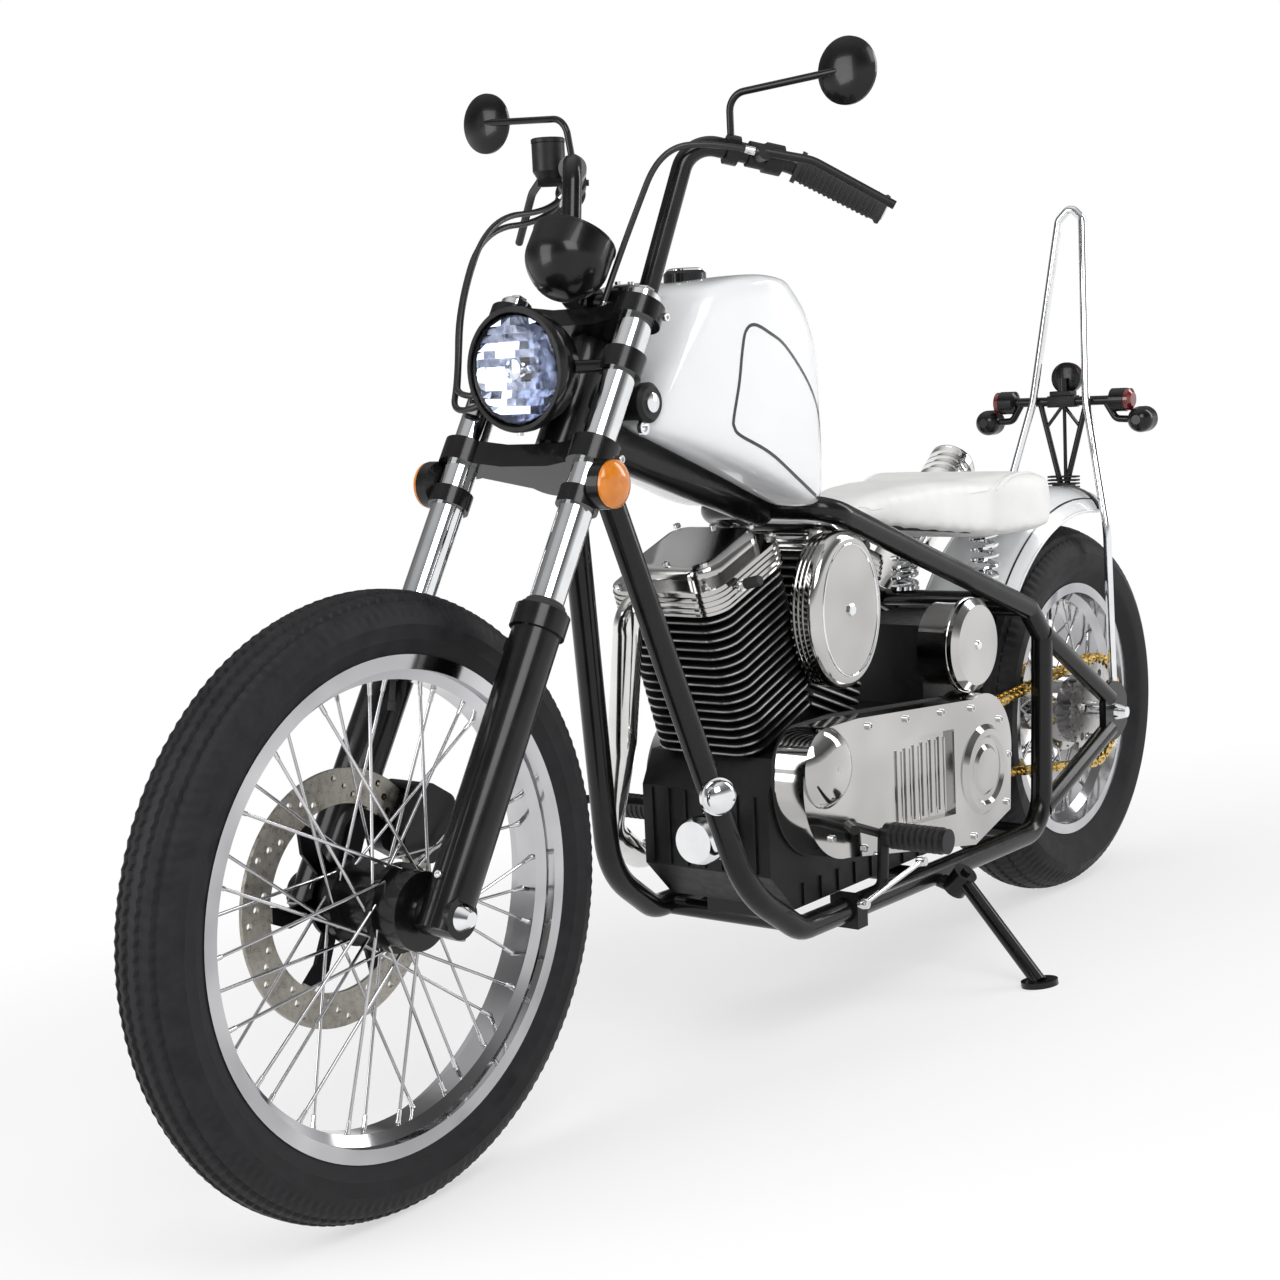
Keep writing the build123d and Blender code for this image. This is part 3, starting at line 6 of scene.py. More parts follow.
import bmesh
import bpy
from mathutils import Matrix, Vector


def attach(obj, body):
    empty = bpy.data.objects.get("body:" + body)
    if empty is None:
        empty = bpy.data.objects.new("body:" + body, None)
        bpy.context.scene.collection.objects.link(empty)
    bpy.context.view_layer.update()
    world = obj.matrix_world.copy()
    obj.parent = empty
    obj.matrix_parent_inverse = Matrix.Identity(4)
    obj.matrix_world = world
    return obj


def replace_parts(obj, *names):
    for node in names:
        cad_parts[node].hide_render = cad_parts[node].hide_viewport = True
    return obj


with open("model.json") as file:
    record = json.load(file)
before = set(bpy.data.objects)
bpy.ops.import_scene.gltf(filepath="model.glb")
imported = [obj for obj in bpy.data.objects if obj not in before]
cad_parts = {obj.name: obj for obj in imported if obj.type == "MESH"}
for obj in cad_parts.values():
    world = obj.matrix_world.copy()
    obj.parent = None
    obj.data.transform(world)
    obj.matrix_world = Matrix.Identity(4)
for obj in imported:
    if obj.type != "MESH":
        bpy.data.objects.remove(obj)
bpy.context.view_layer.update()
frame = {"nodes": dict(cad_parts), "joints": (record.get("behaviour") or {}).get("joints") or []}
NODES = frame["nodes"]


def vec(x, y, z):
    return Vector((x, y, z))


def other_side(p):
    """A point or direction mirrored to the bike's other side."""
    return Vector((p.x, -p.y, p.z))


# ---- the bike's upright frame, in millimetres, inside the leaning row frame ----
LEAN = radians(8)
RAKE = radians(31.5)
REAR_AXLE = vec(0.0, 0.0, 315.884)
FRONT_AXLE = vec(1630.0, 0.0, 350.442)
LEG_UP = vec(-sin(RAKE), 0.0, cos(RAKE))
LEG_FORWARD = vec(cos(RAKE), 0.0, sin(RAKE))
FORWARD, LEFT, UP = vec(1, 0, 0), vec(0, 1, 0), vec(0, 0, 1)
BACK, RIGHT, DOWN = -FORWARD, -LEFT, -UP
SIDES = (1, -1)
TURN = Matrix.Rotation(-LEAN, 4, "X")


def row_matrix():
    """Turns upright millimetres into leaning metres, from where the rear wheel's joint is."""
    joint = next(j for j in frame["joints"] if j["name"] == "rear_wheel_spin")
    shift = Vector(joint["pos_m"]) - TURN @ (REAR_AXLE / 1000)
    return Matrix.Translation(shift) @ TURN @ Matrix.Scale(0.001, 4)


ROW = row_matrix()
UPRIGHT = ROW.inverted()


def on_fork(forward, y, up):
    """A point by the front axle, along and across the fork legs."""
    return FRONT_AXLE + LEG_FORWARD * forward + LEFT * y + LEG_UP * up


def wheel_way(a):
    """The spoke direction at an angle in a wheel's plane."""
    return vec(cos(a), 0, sin(a))


# ---- materials ----
def wire(tree, made, inputs):
    """Gives each input of a shader node a value, or wires a socket into it."""
    for key, value in inputs.items():
        if isinstance(value, bpy.types.NodeSocket):
            tree.links.new(value, made.inputs[key])
        else:
            made.inputs[key].default_value = value


def node(tree, kind, output, inputs, **settings):
    """Adds a shader node and returns one of its outputs."""
    made = tree.nodes.new("ShaderNode" + kind)
    for key, value in settings.items():
        setattr(made, key, value)
    wire(tree, made, inputs)
    return made.outputs[output]


def opened(data):
    """The node tree of a new material or one made before, its shader and its coordinates."""
    data.use_nodes = True
    tree = data.node_tree
    place = tree.nodes.get("Texture Coordinate") or tree.nodes.new("ShaderNodeTexCoord")
    return tree, tree.nodes["Principled BSDF"], place.outputs["Object"]


def cloud(tree, place, scale, detail=2.0):
    return node(tree, "TexNoise", "Fac", {"Vector": place, "Scale": scale, "Detail": detail})


def rgba(tone):
    """A full colour from three numbers, or from one grey."""
    return (*(tone if isinstance(tone, tuple) else (tone, tone, tone)), 1)


def ramp(tree, factor, stops):
    """A colour ramp through (position, tone) stops."""
    colour = node(tree, "ValToRGB", "Color", {"Fac": factor})
    elements = colour.node.color_ramp.elements
    while len(elements) < len(stops):
        elements.new(0.5)
    for element, (at, tone) in zip(elements, stops):
        element.position = at
        element.color = rgba(tone)
    return colour


def spread(tree, value, old, new, **settings):
    """A value moved from one range into another."""
    ends = {"From Min": old[0], "From Max": old[1], "To Min": new[0], "To Max": new[1]}
    return node(tree, "MapRange", "Result", {"Value": value, **ends}, **settings)


def bumped(tree, shader, height, strength, distance):
    lift = node(tree, "Bump", "Normal", {"Height": height, "Strength": strength, "Distance": distance})
    wire(tree, shader, {"Normal": lift})


def surface(tree, factor, first, second):
    """Mixes two shaders into the material's surface."""
    mix = node(tree, "MixShader", "Shader", {"Fac": factor, 1: first, 2: second})
    wire(tree, tree.nodes["Material Output"], {"Surface": mix})


def material(name, dark, light, rough, metal=0, grain=60, bump=None, coat=0, specular=0.5, detail=4):
    """A noise-mixed finish: two tones, two roughnesses, and a fine bump of (millimetres, scale)."""
    mat = bpy.data.materials.new(name)
    tree, shader, place = opened(mat)
    patches = cloud(tree, place, grain, detail)
    wire(tree, shader, {
        "Base Color": ramp(tree, patches, [(0.3, dark), (0.7, light)]),
        "Roughness": spread(tree, patches, (0.3, 0.7), rough),
        "Metallic": metal, "Coat Weight": coat, "Coat Roughness": 0.04, "Specular IOR Level": specular})
    if bump:
        bumped(tree, shader, cloud(tree, place, bump[1], 3), 0.6, bump[0] / 1000)
    return mat


CHROME = material("chrome", (0.78, 0.79, 0.81), (0.88, 0.89, 0.9), (0.05, 0.1), 1, 25, (0.01, 60))
PIPE = material("exhaust_chrome", (0.7, 0.69, 0.66), 0.86, (0.06, 0.14), 1, 14, (0.01, 60))
POLISHED = material("polished_alloy", (0.46, 0.455, 0.45), (0.6, 0.59, 0.58), (0.07, 0.15), 1, 9,
                    (0.02, 70), detail=1)
RIM = material("polished_rim", (0.36, 0.36, 0.37), (0.66, 0.66, 0.68), (0.05, 0.16), 1, 7, (0.02, 80),
               detail=2)
STEEL = material("plain_steel", (0.45, 0.44, 0.43), (0.62, 0.61, 0.6), (0.25, 0.4), 1, 120, (0.03, 900))
BARE = material("bolt_steel", 0.6, 0.75, (0.15, 0.28), 1, 200)
EDGE = material("bright_fin_edge", 0.3, 0.5, (0.3, 0.45), 1, 60, (0.02, 900))
SOOT = material("sooty_steel", 0.02, 0.06, (0.7, 0.9), 0.3, 120, (0.05, 900))
BRASS = material("gold_chain", (0.5, 0.36, 0.12), (0.72, 0.54, 0.22), (0.22, 0.4), 1, 150, (0.04, 800))
MIRROR = material("mirror_glass", 0.86, 0.9, (0.01, 0.03), 1, 10)
# the reflector's blue tint is a painted reflection of bluish surroundings, put into the metal's colour
REFLECTOR = material("lamp_reflector", (0.26, 0.29, 0.38), (0.62, 0.66, 0.78), (0.08, 0.2), 1, 55)
DISC = material("brake_disc_steel", (0.25, 0.235, 0.205), (0.4, 0.38, 0.34), (0.22, 0.4), 1, 120)
BLACK = material("gloss_black_paint", 0.004, 0.008, (0.2, 0.28), 0, 30, (0.015, 350), coat=0.22,
                 specular=0.22)
SATIN = material("satin_black_paint", 0.005, 0.011, (0.36, 0.48), 0, 60, (0.04, 1200), specular=0.3)
WRINKLE = material("wrinkle_black_enamel", 0.004, 0.01, (0.35, 0.5), 0, 70, (0.12, 1500), specular=0.25)
PLASTIC = material("black_plastic", 0.006, 0.012, (0.42, 0.56), 0, 80, (0.05, 1800), specular=0.3)
PINSTRIPE = material("black_pinstripe", 0.008, 0.012, (0.2, 0.3), coat=1)
DIAL = material("black_dial", 0.006, 0.01, (0.5, 0.6), 0, 300, (0.02, 900))
INK = material("white_dial_ink", 0.75, 0.82, (0.5, 0.6), 0, 300)
WHITE = material("white_paint", (0.84, 0.85, 0.87), (0.87, 0.88, 0.895), (0.2, 0.26), 0, 8, (0.01, 250),
                 coat=1)
RUBBER = material("rubber", 0.012, 0.022, (0.6, 0.75), 0, 120, (0.08, 1600))
TYRE = material("tyre_rubber", (0.009, 0.009, 0.0105), (0.02, 0.02, 0.022), (0.5, 0.7), 0, 45, (0.1, 1400),
                specular=0.22)
CABLE = material("cable_sheath", 0.008, 0.014, (0.32, 0.42), 0, 80, (0.03, 1500))
AMBER = material("amber_lens", (0.56, 0.16, 0.006), (0.68, 0.22, 0.015), (0.14, 0.24), 0, 60, (0.02, 900),
                 coat=0.4)
RED = material("red_lens", (0.1, 0.004, 0.003), (0.18, 0.007, 0.005), (0.08, 0.16), coat=0.8)
THREAD = material("stitch_thread", (0.6, 0.59, 0.57), (0.72, 0.71, 0.69), (0.6, 0.8), 0, 400)
LEATHER = material("white_leather", (0.83, 0.825, 0.815), (0.88, 0.877, 0.87), (0.4, 0.54), 0, 22)


def leather_grain():
    """Fine creases between the cells of the leather."""
    tree, shader, place = opened(LEATHER)
    cells = node(tree, "TexVoronoi", "Distance", {"Vector": place, "Scale": 520}, feature="DISTANCE_TO_EDGE")
    bumped(tree, shader, spread(tree, cells, (0, 0.16), (0, 1)), 0.35, 0.0003)


def disc_rings():
    """Turning marks on the disc's ground band, and black paint inside it."""
    tree, shader, place = opened(DISC)
    axle = ROW @ (FRONT_AXLE + RIGHT * 62)
    reach = node(tree, "VectorMath", "Value", {0: place, 1: axle}, operation="DISTANCE")
    inside = node(tree, "Math", "Value", {0: reach, 1: 0.104}, operation="LESS_THAN")
    ground = shader.inputs["Base Color"].links[0].from_socket
    paint = rgba((0.01, 0.01, 0.011))
    both = node(tree, "Mix", 2, {"Factor": inside, 6: ground, 7: paint}, data_type="RGBA")
    wire(tree, shader, {"Base Color": both})
    scaled = node(tree, "Math", "Value", {0: reach, 1: 9000}, operation="MULTIPLY")
    bumped(tree, shader, node(tree, "Math", "Value", {0: scaled}, operation="SINE"), 0.3, 0.0001)


def lamp_glass_material():
    """Thin clear glass: tinted see-through, mirror-like at low angles."""
    mat = bpy.data.materials.new("lamp_glass")
    tree, shader, place = opened(mat)
    tree.nodes.remove(shader)
    patches = cloud(tree, place, 30)
    tint = ramp(tree, patches, [(0, (0.9, 0.93, 1.0)), (1, 1.0)])
    through = node(tree, "BsdfTransparent", "BSDF", {"Color": tint})
    gloss = node(tree, "BsdfGlossy", "BSDF", {"Roughness": spread(tree, patches, (0, 1), (0.01, 0.04))})
    surface(tree, node(tree, "Fresnel", "Fac", {"IOR": 1.35}), through, gloss)
    return mat


leather_grain()
disc_rings()
GLASS = lamp_glass_material()

LOOKS = [
    (BLACK, "front_hub fork_sliders fork_yokes headlight_shell speedometer handlebar mirrors front_signals "
            "frame_main rear_fork fuel_cap tail_bracket side_stand"),
    (CHROME, "front_axle rear_axle fork_tubes seat_springs sissy_bar"),
    (POLISHED, "rear_hub cylinder_heads left_engine_cover right_engine_cover intake_cover "
               "electrics_canister"),
    (WRINKLE, "crankcase cylinder_barrels"),
    (SATIN, "hand_controls brake_caliper foot_controls"),
    (WHITE, "fuel_tank rear_fender"),
    (RIM, "front_rim rear_rim"),
    (TYRE, "front_tyre rear_tyre"),
    (RED, "tail_lamp rear_lenses"),
    (AMBER, "front_lenses"),
    (DISC, "brake_disc"),
    (STEEL, "sprocket"),
    (GLASS, "headlight_lens"),
    (RUBBER, "grips"),
    (CABLE, "control_cables"),
    (PLASTIC, "battery_box"),
    (PIPE, "exhaust"),
    (BRASS, "drive_chain"),
    (LEATHER, "seat"),
]
# bent tubes are faceted more coarsely, so their edges stay smooth up to a wider angle
TUBE_NODES = "exhaust handlebar frame_main rear_fork sissy_bar mirrors foot_controls tail_bracket".split()
TUBE_ANGLE, PLAIN_ANGLE = radians(52), radians(32)
for look, names in LOOKS:
    for name in names.split():
        mesh = NODES[name].data
        mesh.materials.clear()
        mesh.materials.append(look)
        mesh.shade_smooth()
        mesh.set_sharp_from_angle(angle=TUBE_ANGLE if name in TUBE_NODES else PLAIN_ANGLE)


# ---- shapes: each is (points in upright millimetres, faces) ----
def net(rows, size, closed_rings, closed_rows):
    """Faces between rows of points; each row may be a ring, and the last row may join the first."""
    faces = []
    for k in range(rows if closed_rows else rows - 1):
        m = (k + 1) % rows
        for i in range(size if closed_rings else size - 1):
            j = (i + 1) % size
            faces.append((k * size + i, m * size + i, m * size + j, k * size + j))
    return faces


def lathe(profile, centre, direction, segments=48, first=True, last=True, ring=False):
    """(along, radius) points turned about an axis; each open end is closed, or the profile is a ring."""
    way = Vector(direction).normalized()
    aside = way.orthogonal().normalized()
    third = way.cross(aside)
    centre = Vector(centre)
    points = []
    for k in range(segments):
        a = 2 * pi * k / segments
        out = aside * cos(a) + third * sin(a)
        points += [centre + way * along + out * radius for along, radius in profile]
    n = len(profile)
    faces = net(segments, n, ring, True)
    if first and not ring and profile[0][1] > 0:
        faces.append(tuple(k * n for k in reversed(range(segments))))
    if last and not ring and profile[-1][1] > 0:
        faces.append(tuple(k * n + n - 1 for k in range(segments)))
    return points, faces


def drum(radius, start, length, centre, direction, segments=48):
    """A plain cylinder from a start along its axis."""
    return lathe([(start, radius), (start + length, radius)], centre, direction, segments)


def rounded_curve(points, per, closed=False):
    """A Catmull-Rom curve through the points, with as many steps between two of them."""
    points = [Vector(p) for p in points]
    ends = [points[0] * 2 - points[1], *points, points[-1] * 2 - points[-2]]
    if closed:
        ends = [points[-1], *points, points[0], points[1]]
    path = []
    for a, b, c, d in zip(ends, ends[1:], ends[2:], ends[3:]):
        for k in range(per):
            t = k / per
            bend = (c - a) * t + (2 * a - 5 * b + 4 * c - d) * t * t + (3 * b - a - 3 * c + d) * t ** 3
            path.append(0.5 * (2 * b + bend))
    return path if closed else [*path, points[-1]]


def neighbours(path, k, closed):
    """The points before and after one on a path, or the point itself at an open end."""
    count = len(path)
    before = path[k - 1] if k or closed else path[k]
    after = path[(k + 1) % count] if k < count - 1 or closed else path[k]
    return before, after


def sweep(path, radius, sides=10, closed=False):
    """A round tube along a path of points."""
    path = [Vector(p) for p in path]
    count = len(path)
    side = None
    points = []
    for k, here in enumerate(path):
        before, after = neighbours(path, k, closed)
        way = (after - before).normalized()
        side = way.orthogonal() if side is None else side - way * side.dot(way)
        side.normalize()
        third = way.cross(side)
        for i in range(sides):
            a = 2 * pi * i / sides
            points.append(here + (side * cos(a) + third * sin(a)) * radius)
    faces = net(count, sides, True, closed)
    if not closed:
        faces += [tuple(reversed(range(sides))), tuple(range((count - 1) * sides, count * sides))]
    return points, faces


def prism(outline, origin, u, v, height):
    """A flat outline of (u, v) points raised along u x v, with both faces."""
    origin, u, v = Vector(origin), Vector(u), Vector(v)
    up = u.cross(v) * height
    base = [origin + u * a + v * b for a, b in outline]
    n = len(base)
    caps = [tuple(reversed(range(n))), tuple(range(n, 2 * n))]
    return base + [p + up for p in base], [*caps, *net(2, n, True, False)]


def slab(low, high, origin, u, v, height):
    """A box: a rectangle from one corner to the other, raised along u x v."""
    (a, b), (c, d) = low, high
    return prism([(a, b), (c, b), (c, d), (a, d)], origin, u, v, height)


def mirrored(shapes):
    """The shapes and their images on the bike's other side."""
    images = [([other_side(p) for p in points], faces) for points, faces in shapes]
    return [*shapes, *images]


def bolt(centre, direction, radius, height=None):
    """A hex head with a chamfered top on a washer."""
    height = height or radius * 0.9
    washer = [(0, radius * 1.25), (radius * 0.18, radius * 1.25), (radius * 0.18, radius)]
    head = [(radius * 0.15, radius), (height * 0.85, radius), (height, radius * 0.82)]
    return [lathe(washer, centre, direction, 20), lathe(head, centre, direction, 6)]


def cap_screw(centre, direction, radius):
    """A round socket-head screw with its recess."""
    r = radius
    profile = [(0, r), (r * 0.9, r), (r, r * 0.9), (r, r * 0.55), (r * 0.4, r * 0.5), (r * 0.4, 0)]
    return [lathe(profile, centre, direction, 18)]


def link(name, data):
    """A new object in the scene."""
    made = bpy.data.objects.new(name, data)
    bpy.context.scene.collection.objects.link(made)
    return made


def finish_mesh(piece, look, sharp):
    piece.data.materials.clear()
    piece.data.materials.append(look)
    piece.data.shade_smooth()
    piece.data.set_sharp_from_angle(angle=radians(sharp))


def apply(piece, *modifiers):
    """Applies modifiers of a piece by name."""
    bpy.context.view_layer.objects.active = piece
    piece.select_set(True)
    for modifier in modifiers:
        bpy.ops.object.modifier_apply(modifier=modifier)
    piece.select_set(False)


def add(name, shapes, look, body="frame", sharp=35, bevel=0.0):
    """One object from several shapes, riding on a body."""
    if isinstance(shapes, tuple):
        shapes = [shapes]
    points, faces = [], []
    for shape_points, shape_faces in shapes:
        start = len(points)
        points += [ROW @ p for p in shape_points]
        faces += [tuple(start + i for i in face) for face in shape_faces]
    mesh = bpy.data.meshes.new(name)
    mesh.from_pydata(points, [], faces)
    work = bmesh.new()
    work.from_mesh(mesh)
    bmesh.ops.remove_doubles(work, verts=work.verts, dist=1e-6)
    bmesh.ops.recalc_face_normals(work, faces=work.faces)
    if bevel:
        edges = [e for e in work.edges if len(e.link_faces) == 2 and e.calc_face_angle(0) > radians(30)]
        bmesh.ops.bevel(work, geom=edges, offset=bevel / 1000, segments=2, affect="EDGES", profile=0.5,
                        clamp_overlap=True)
    work.to_mesh(mesh)
    work.free()
    piece = link(name, mesh)
    finish_mesh(piece, look, sharp)
    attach(piece, body)
    return piece


def stand_for(piece, node_name):
    """Takes the place of a CAD node, which is hidden."""
    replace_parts(piece, node_name)


def softened(name, node_name, voxel, steps, look):
    """A copy of a CAD node with its edges rounded over, standing for the node."""
    piece = link(name, NODES[node_name].data.copy())
    melt = piece.modifiers.new("melt", "REMESH")
    melt.mode = "VOXEL"
    melt.voxel_size = voxel / 1000
    relax = piece.modifiers.new("relax", "SMOOTH")
    relax.factor = 0.5
    relax.iterations = steps
    apply(piece, "melt", "relax")
    piece.data.materials.clear()
    piece.data.materials.append(look)
    piece.data.shade_smooth()
    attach(piece, "frame")
    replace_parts(piece, node_name)
    return piece


# ---- camera ----
def photo_camera():
    """The camera fitted to the photograph, in the bike's upright frame."""
    place = vec(3200.2, 1594.7, 919.06)
    yaw, pitch, roll = -2.4839, -0.1288, -0.0467
    focal_pixels, photo_pixels, sensor = 2050.17, 1280, 36
    ahead = vec(cos(yaw) * cos(pitch), sin(yaw) * cos(pitch), sin(pitch))
    right = ahead.cross(UP).normalized()
    up = right.cross(ahead)
    side = right * cos(roll) + up * sin(roll)
    top = up * cos(roll) - right * sin(roll)
    turn = Matrix((side, top, -ahead)).transposed().to_4x4()
    camera = link("photo_camera", bpy.data.cameras.new("photo_camera"))
    camera.matrix_world = Matrix.Translation(ROW @ place) @ TURN @ turn
    camera.data.lens = focal_pixels / photo_pixels * sensor
    camera.data.sensor_width = sensor
    camera.data.clip_end = 50
    bpy.context.scene.camera = camera


photo_camera()

# ---- control cables: the same routes as in the CAD source, with the lengths in metres ----
CABLES = {
    "throttle_cable_a": (0.50, [
        (1035.3, -172.3, 1157.3), (1050, -190, 1126.5), (1180, -192, 1114), (1262, -166, 1010),
        (1292, -146, 925), (1345, -112, 874), (1333.7, -61.6, 894.7)]),
    "throttle_cable_b": (0.47, [
        (1044.2, -164.8, 1160.1), (1054.4, -176.9, 1138.9), (1182, -176, 1128), (1272, -152, 1022),
        (1304, -134, 930), (1330, -116, 898), (1319.2, -63.2, 902.6)]),
    "clutch_cable": (0.325, [
        (1070, 161.5, 1182.6), (1106, 131, 1194), (1158, 84, 1190), (1182, 54, 1104),
        (1201.7, 30, 1030), (1222.6, 30, 996)]),
}
CABLE_DIAMETER = 0.008
FERRULE = [(0, 5.2), (7, 5.2), (8, 4.6), (13, 4.6)]


def control_cable(name, route):
    points = [Vector(p) for p in route]
    curve = bpy.data.curves.new(name, "CURVE")
    curve.dimensions = "3D"
    curve.bevel_depth = CABLE_DIAMETER / 2
    curve.bevel_resolution = 3
    curve.resolution_u = 12
    curve.use_fill_caps = True
    spline = curve.splines.new("NURBS")
    spline.points.add(len(points) - 1)
    for knot, point in zip(spline.points, points):
        knot.co = (*(ROW @ point), 1)
    spline.order_u = 3
    spline.use_endpoint_u = True
    curve.materials.append(CABLE)
    piece = link(name, curve)
    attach(piece, "steering")
    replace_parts(piece, "control_cables")
    ends = [lathe(FERRULE, here, there - here, 16) for here, there in (points[:2], points[:-3:-1])]
    ferrules = add(name + "_ferrules", ends, BARE, "steering")


for name, (length, route) in CABLES.items():
    control_cable(name, route)


# ---- tyres ----
def tyre_tread(place, centre, radius, width, crown, shoulder, bead_radius, rim_width, pitches, grooves):
    """A tyre with zigzag grooves round the crown, shoulder notches and ribbed walls.

    The crown is an arc of that radius as far as the shoulder's angle; grooves are (place, half width)
    as shares of the half crown.
    """
    groove_depth, notch_depth, zigzag, rib_height = 3.4, 2.6, 1.6, 0.9
    turn = radians(shoulder)
    bead_y = rim_width / 2 - 4.3
    edge_y, edge_r = crown * sin(turn), radius - crown + crown * cos(turn)
    foot_y, foot_r = bead_y + 3, bead_radius + 14.0
    bulge_y, bulge_r = width - (edge_y + foot_y) / 2, (edge_r + foot_r) / 2 + 4
    tread = []
    steps = 44
    for i in range(steps + 1):
        s = 2 * i / steps - 1
        tread.append((s, crown * sin(turn * s), radius - crown + crown * cos(turn * s)))
    wall = []
    for t in (0.1, 0.25, 0.3, 0.36, 0.5, 0.62, 0.68, 0.74, 0.86, 1.0):
        b = 1 - t
        y = b * b * edge_y + 2 * b * t * bulge_y + t * t * foot_y
        r = b * b * edge_r + 2 * b * t * bulge_r + t * t * foot_r
        wall.append((y + (rib_height if t in (0.3, 0.68) else 0), r))
    wall.append((bead_y, bead_radius + 2))
    segments = pitches * 4
    points = []
    for k in range(segments):
        zig = (0, 1, 0, -1)[k % 4] * zigzag
        section = [(-y, r) for y, r in reversed(wall)]
        for s, y, r in tread:
            depth = groove_depth if any(abs(abs(s) - at) < half for at, half in grooves) else 0
            if abs(s) > 0.86 and k % 4 < 2:
                depth = notch_depth
            section.append((y + zig * (1 - s * s), r - depth))
        section += wall
        out = wheel_way(2 * pi * k / segments)
        points += [centre + out * r + LEFT * y for y, r in section]
    shape = (points, net(segments, len(section), True, True))
    stand_for(add(place + "_tyre_tread", shape, TYRE, place + "_wheel", sharp=28), place + "_tyre")


tyre_tread("front", FRONT_AXLE, radius=350, width=86, crown=45, shoulder=65, bead_radius=266.7,
           rim_width=68, pitches=150, grooves=[(0.0, 0.05), (0.32, 0.05), (0.62, 0.05)])
tyre_tread("rear", REAR_AXLE, radius=315, width=150, crown=90, shoulder=48, bead_radius=203.2,
           rim_width=112, pitches=110, grooves=[(0.16, 0.04), (0.5, 0.04), (0.78, 0.04)])


# ---- wheel trim: nipples, valves, disc and sprocket bolts ----
NIPPLE = [(1, 3.4), (5, 3.4), (6, 2.8), (17, 2.6), (18, 2.0)]
VALVE = [(0, 6), (3, 6), (4, 3.5), (26, 3.5), (27, 4.5), (36, 4.5), (37, 3.5)]
SPOKES, SPOKE_TURN = 40, radians(54)


def wheel_trim(body, centre, rim_radius, rim_y, hub_radius, hub_y):
    """Nipples on the spokes' own lines, from the rim toward the hub, and the valve."""
    shapes = []
    for number, (side, way) in enumerate([(1, 1), (-1, 1), (1, -1), (-1, -1)]):
        for index in range(SPOKES // 4):
            a = 2 * pi / SPOKES * (4 * index + number)
            rim_end = wheel_way(a) * rim_radius + LEFT * side * rim_y
            hub_end = wheel_way(a + way * SPOKE_TURN) * hub_radius + LEFT * side * (hub_y + way * 4.5)
            shapes.append(lathe(NIPPLE, centre + rim_end, hub_end - rim_end, 10))
    add(body + "_spoke_nipples", shapes, BARE, body)
    out = wheel_way(radians(100))
    add(body + "_valve", lathe(VALVE, centre + out * (rim_radius - 1), -out, 14), RUBBER, body)


wheel_trim("front_wheel", FRONT_AXLE, rim_radius=253, rim_y=7, hub_radius=44, hub_y=32)
wheel_trim("rear_wheel", REAR_AXLE, rim_radius=189, rim_y=12, hub_radius=66, hub_y=38)


def bolt_circle(head, centre, count, first, radius, y, direction, size):
    """Heads evenly spaced about an axle, the first at an angle in degrees."""
    heads = []
    for k in range(count):
        way = wheel_way(radians(360 / count * k + first))
        heads += head(centre + way * radius + LEFT * y, direction, size)
    return heads


add("disc_bolts", bolt_circle(cap_screw, FRONT_AXLE, 6, 30, 38, -64.5, RIGHT, 5), BARE, "front_wheel")
add("disc_rivets", bolt_circle(cap_screw, FRONT_AXLE, 6, 5, 110, -64.5, RIGHT, 3.6), BARE, "front_wheel")
add("sprocket_bolts", bolt_circle(bolt, REAR_AXLE, 5, 12, 50, 95.5, LEFT, 7), BARE, "rear_wheel")

# ---- chain ----
PITCH = 15.875
REAR_TEETH, FRONT_TEETH = 36, 16
FRONT_SPROCKET = vec(500, 0, 330)
CHAIN_Y = 92


def along_path(path):
    """The length travelled to each point of a path."""
    lengths = [0.0]
    for a, b in zip(path, path[1:]):
        lengths.append(lengths[-1] + (b - a).length)
    return lengths


def place_at(path, lengths, target):
    """The point at a length along a path, and the number of the point before it."""
    at = min(bisect_left(lengths, target, 1), len(path) - 1) - 1
    t = (target - lengths[at]) / max(lengths[at + 1] - lengths[at], 0.001)
    return path[at].lerp(path[at + 1], t), at


def chain_pins():
    """Pin places evenly spaced on the loop round both sprockets, in the X-Z plane."""
    rear_r, front_r = (PITCH / 2 / sin(pi / teeth) for teeth in (REAR_TEETH, FRONT_TEETH))
    span = FRONT_SPROCKET - REAR_AXLE
    rise = atan2(span.z, span.x)
    flare = acos((rear_r - front_r) / span.length)
    path = []
    for centre, radius, start, stop in ((REAR_AXLE, rear_r, rise + flare, rise + 2 * pi - flare),
                                        (FRONT_SPROCKET, front_r, rise - flare, rise + flare)):
        path += [centre + wheel_way(start + (stop - start) * k / 60) * radius for k in range(61)]
    path.append(path[0])
    lengths = along_path(path)
    count = round(lengths[-1] / PITCH / 2) * 2
    return [place_at(path, lengths, lengths[-1] * k / count)[0] for k in range(count)]


def chain_links():
    """Side plates, pins and rollers of every link, on the run of the CAD chain."""
    pins = chain_pins()
    plate_radius = 6.6
    shapes = []
    for k, here in enumerate(pins):
        span = pins[(k + 1) % len(pins)] - here
        way = span.normalized()
        plate = []
        for reach, start in ((span.length, -90), (0.0, 90)):
            for turn in range(0, 181, 30):
                a = radians(start + turn)
                plate.append((plate_radius * sin(a), reach + plate_radius * cos(a)))
        for side in SIDES:
            left_face = CHAIN_Y + side * (8.0 if k % 2 else 5.6) - 0.9
            shapes.append(prism(plate, here + LEFT * left_face, LEFT.cross(way), way, 1.8))
        for radius, half, sides in ((2.6, 9.6, 8), (5.0, 4.6, 10)):
            shapes.append(drum(radius, -half, 2 * half, here + LEFT * CHAIN_Y, LEFT, sides))
    stand_for(add("chain_links", shapes, BRASS), "drive_chain")


chain_links()


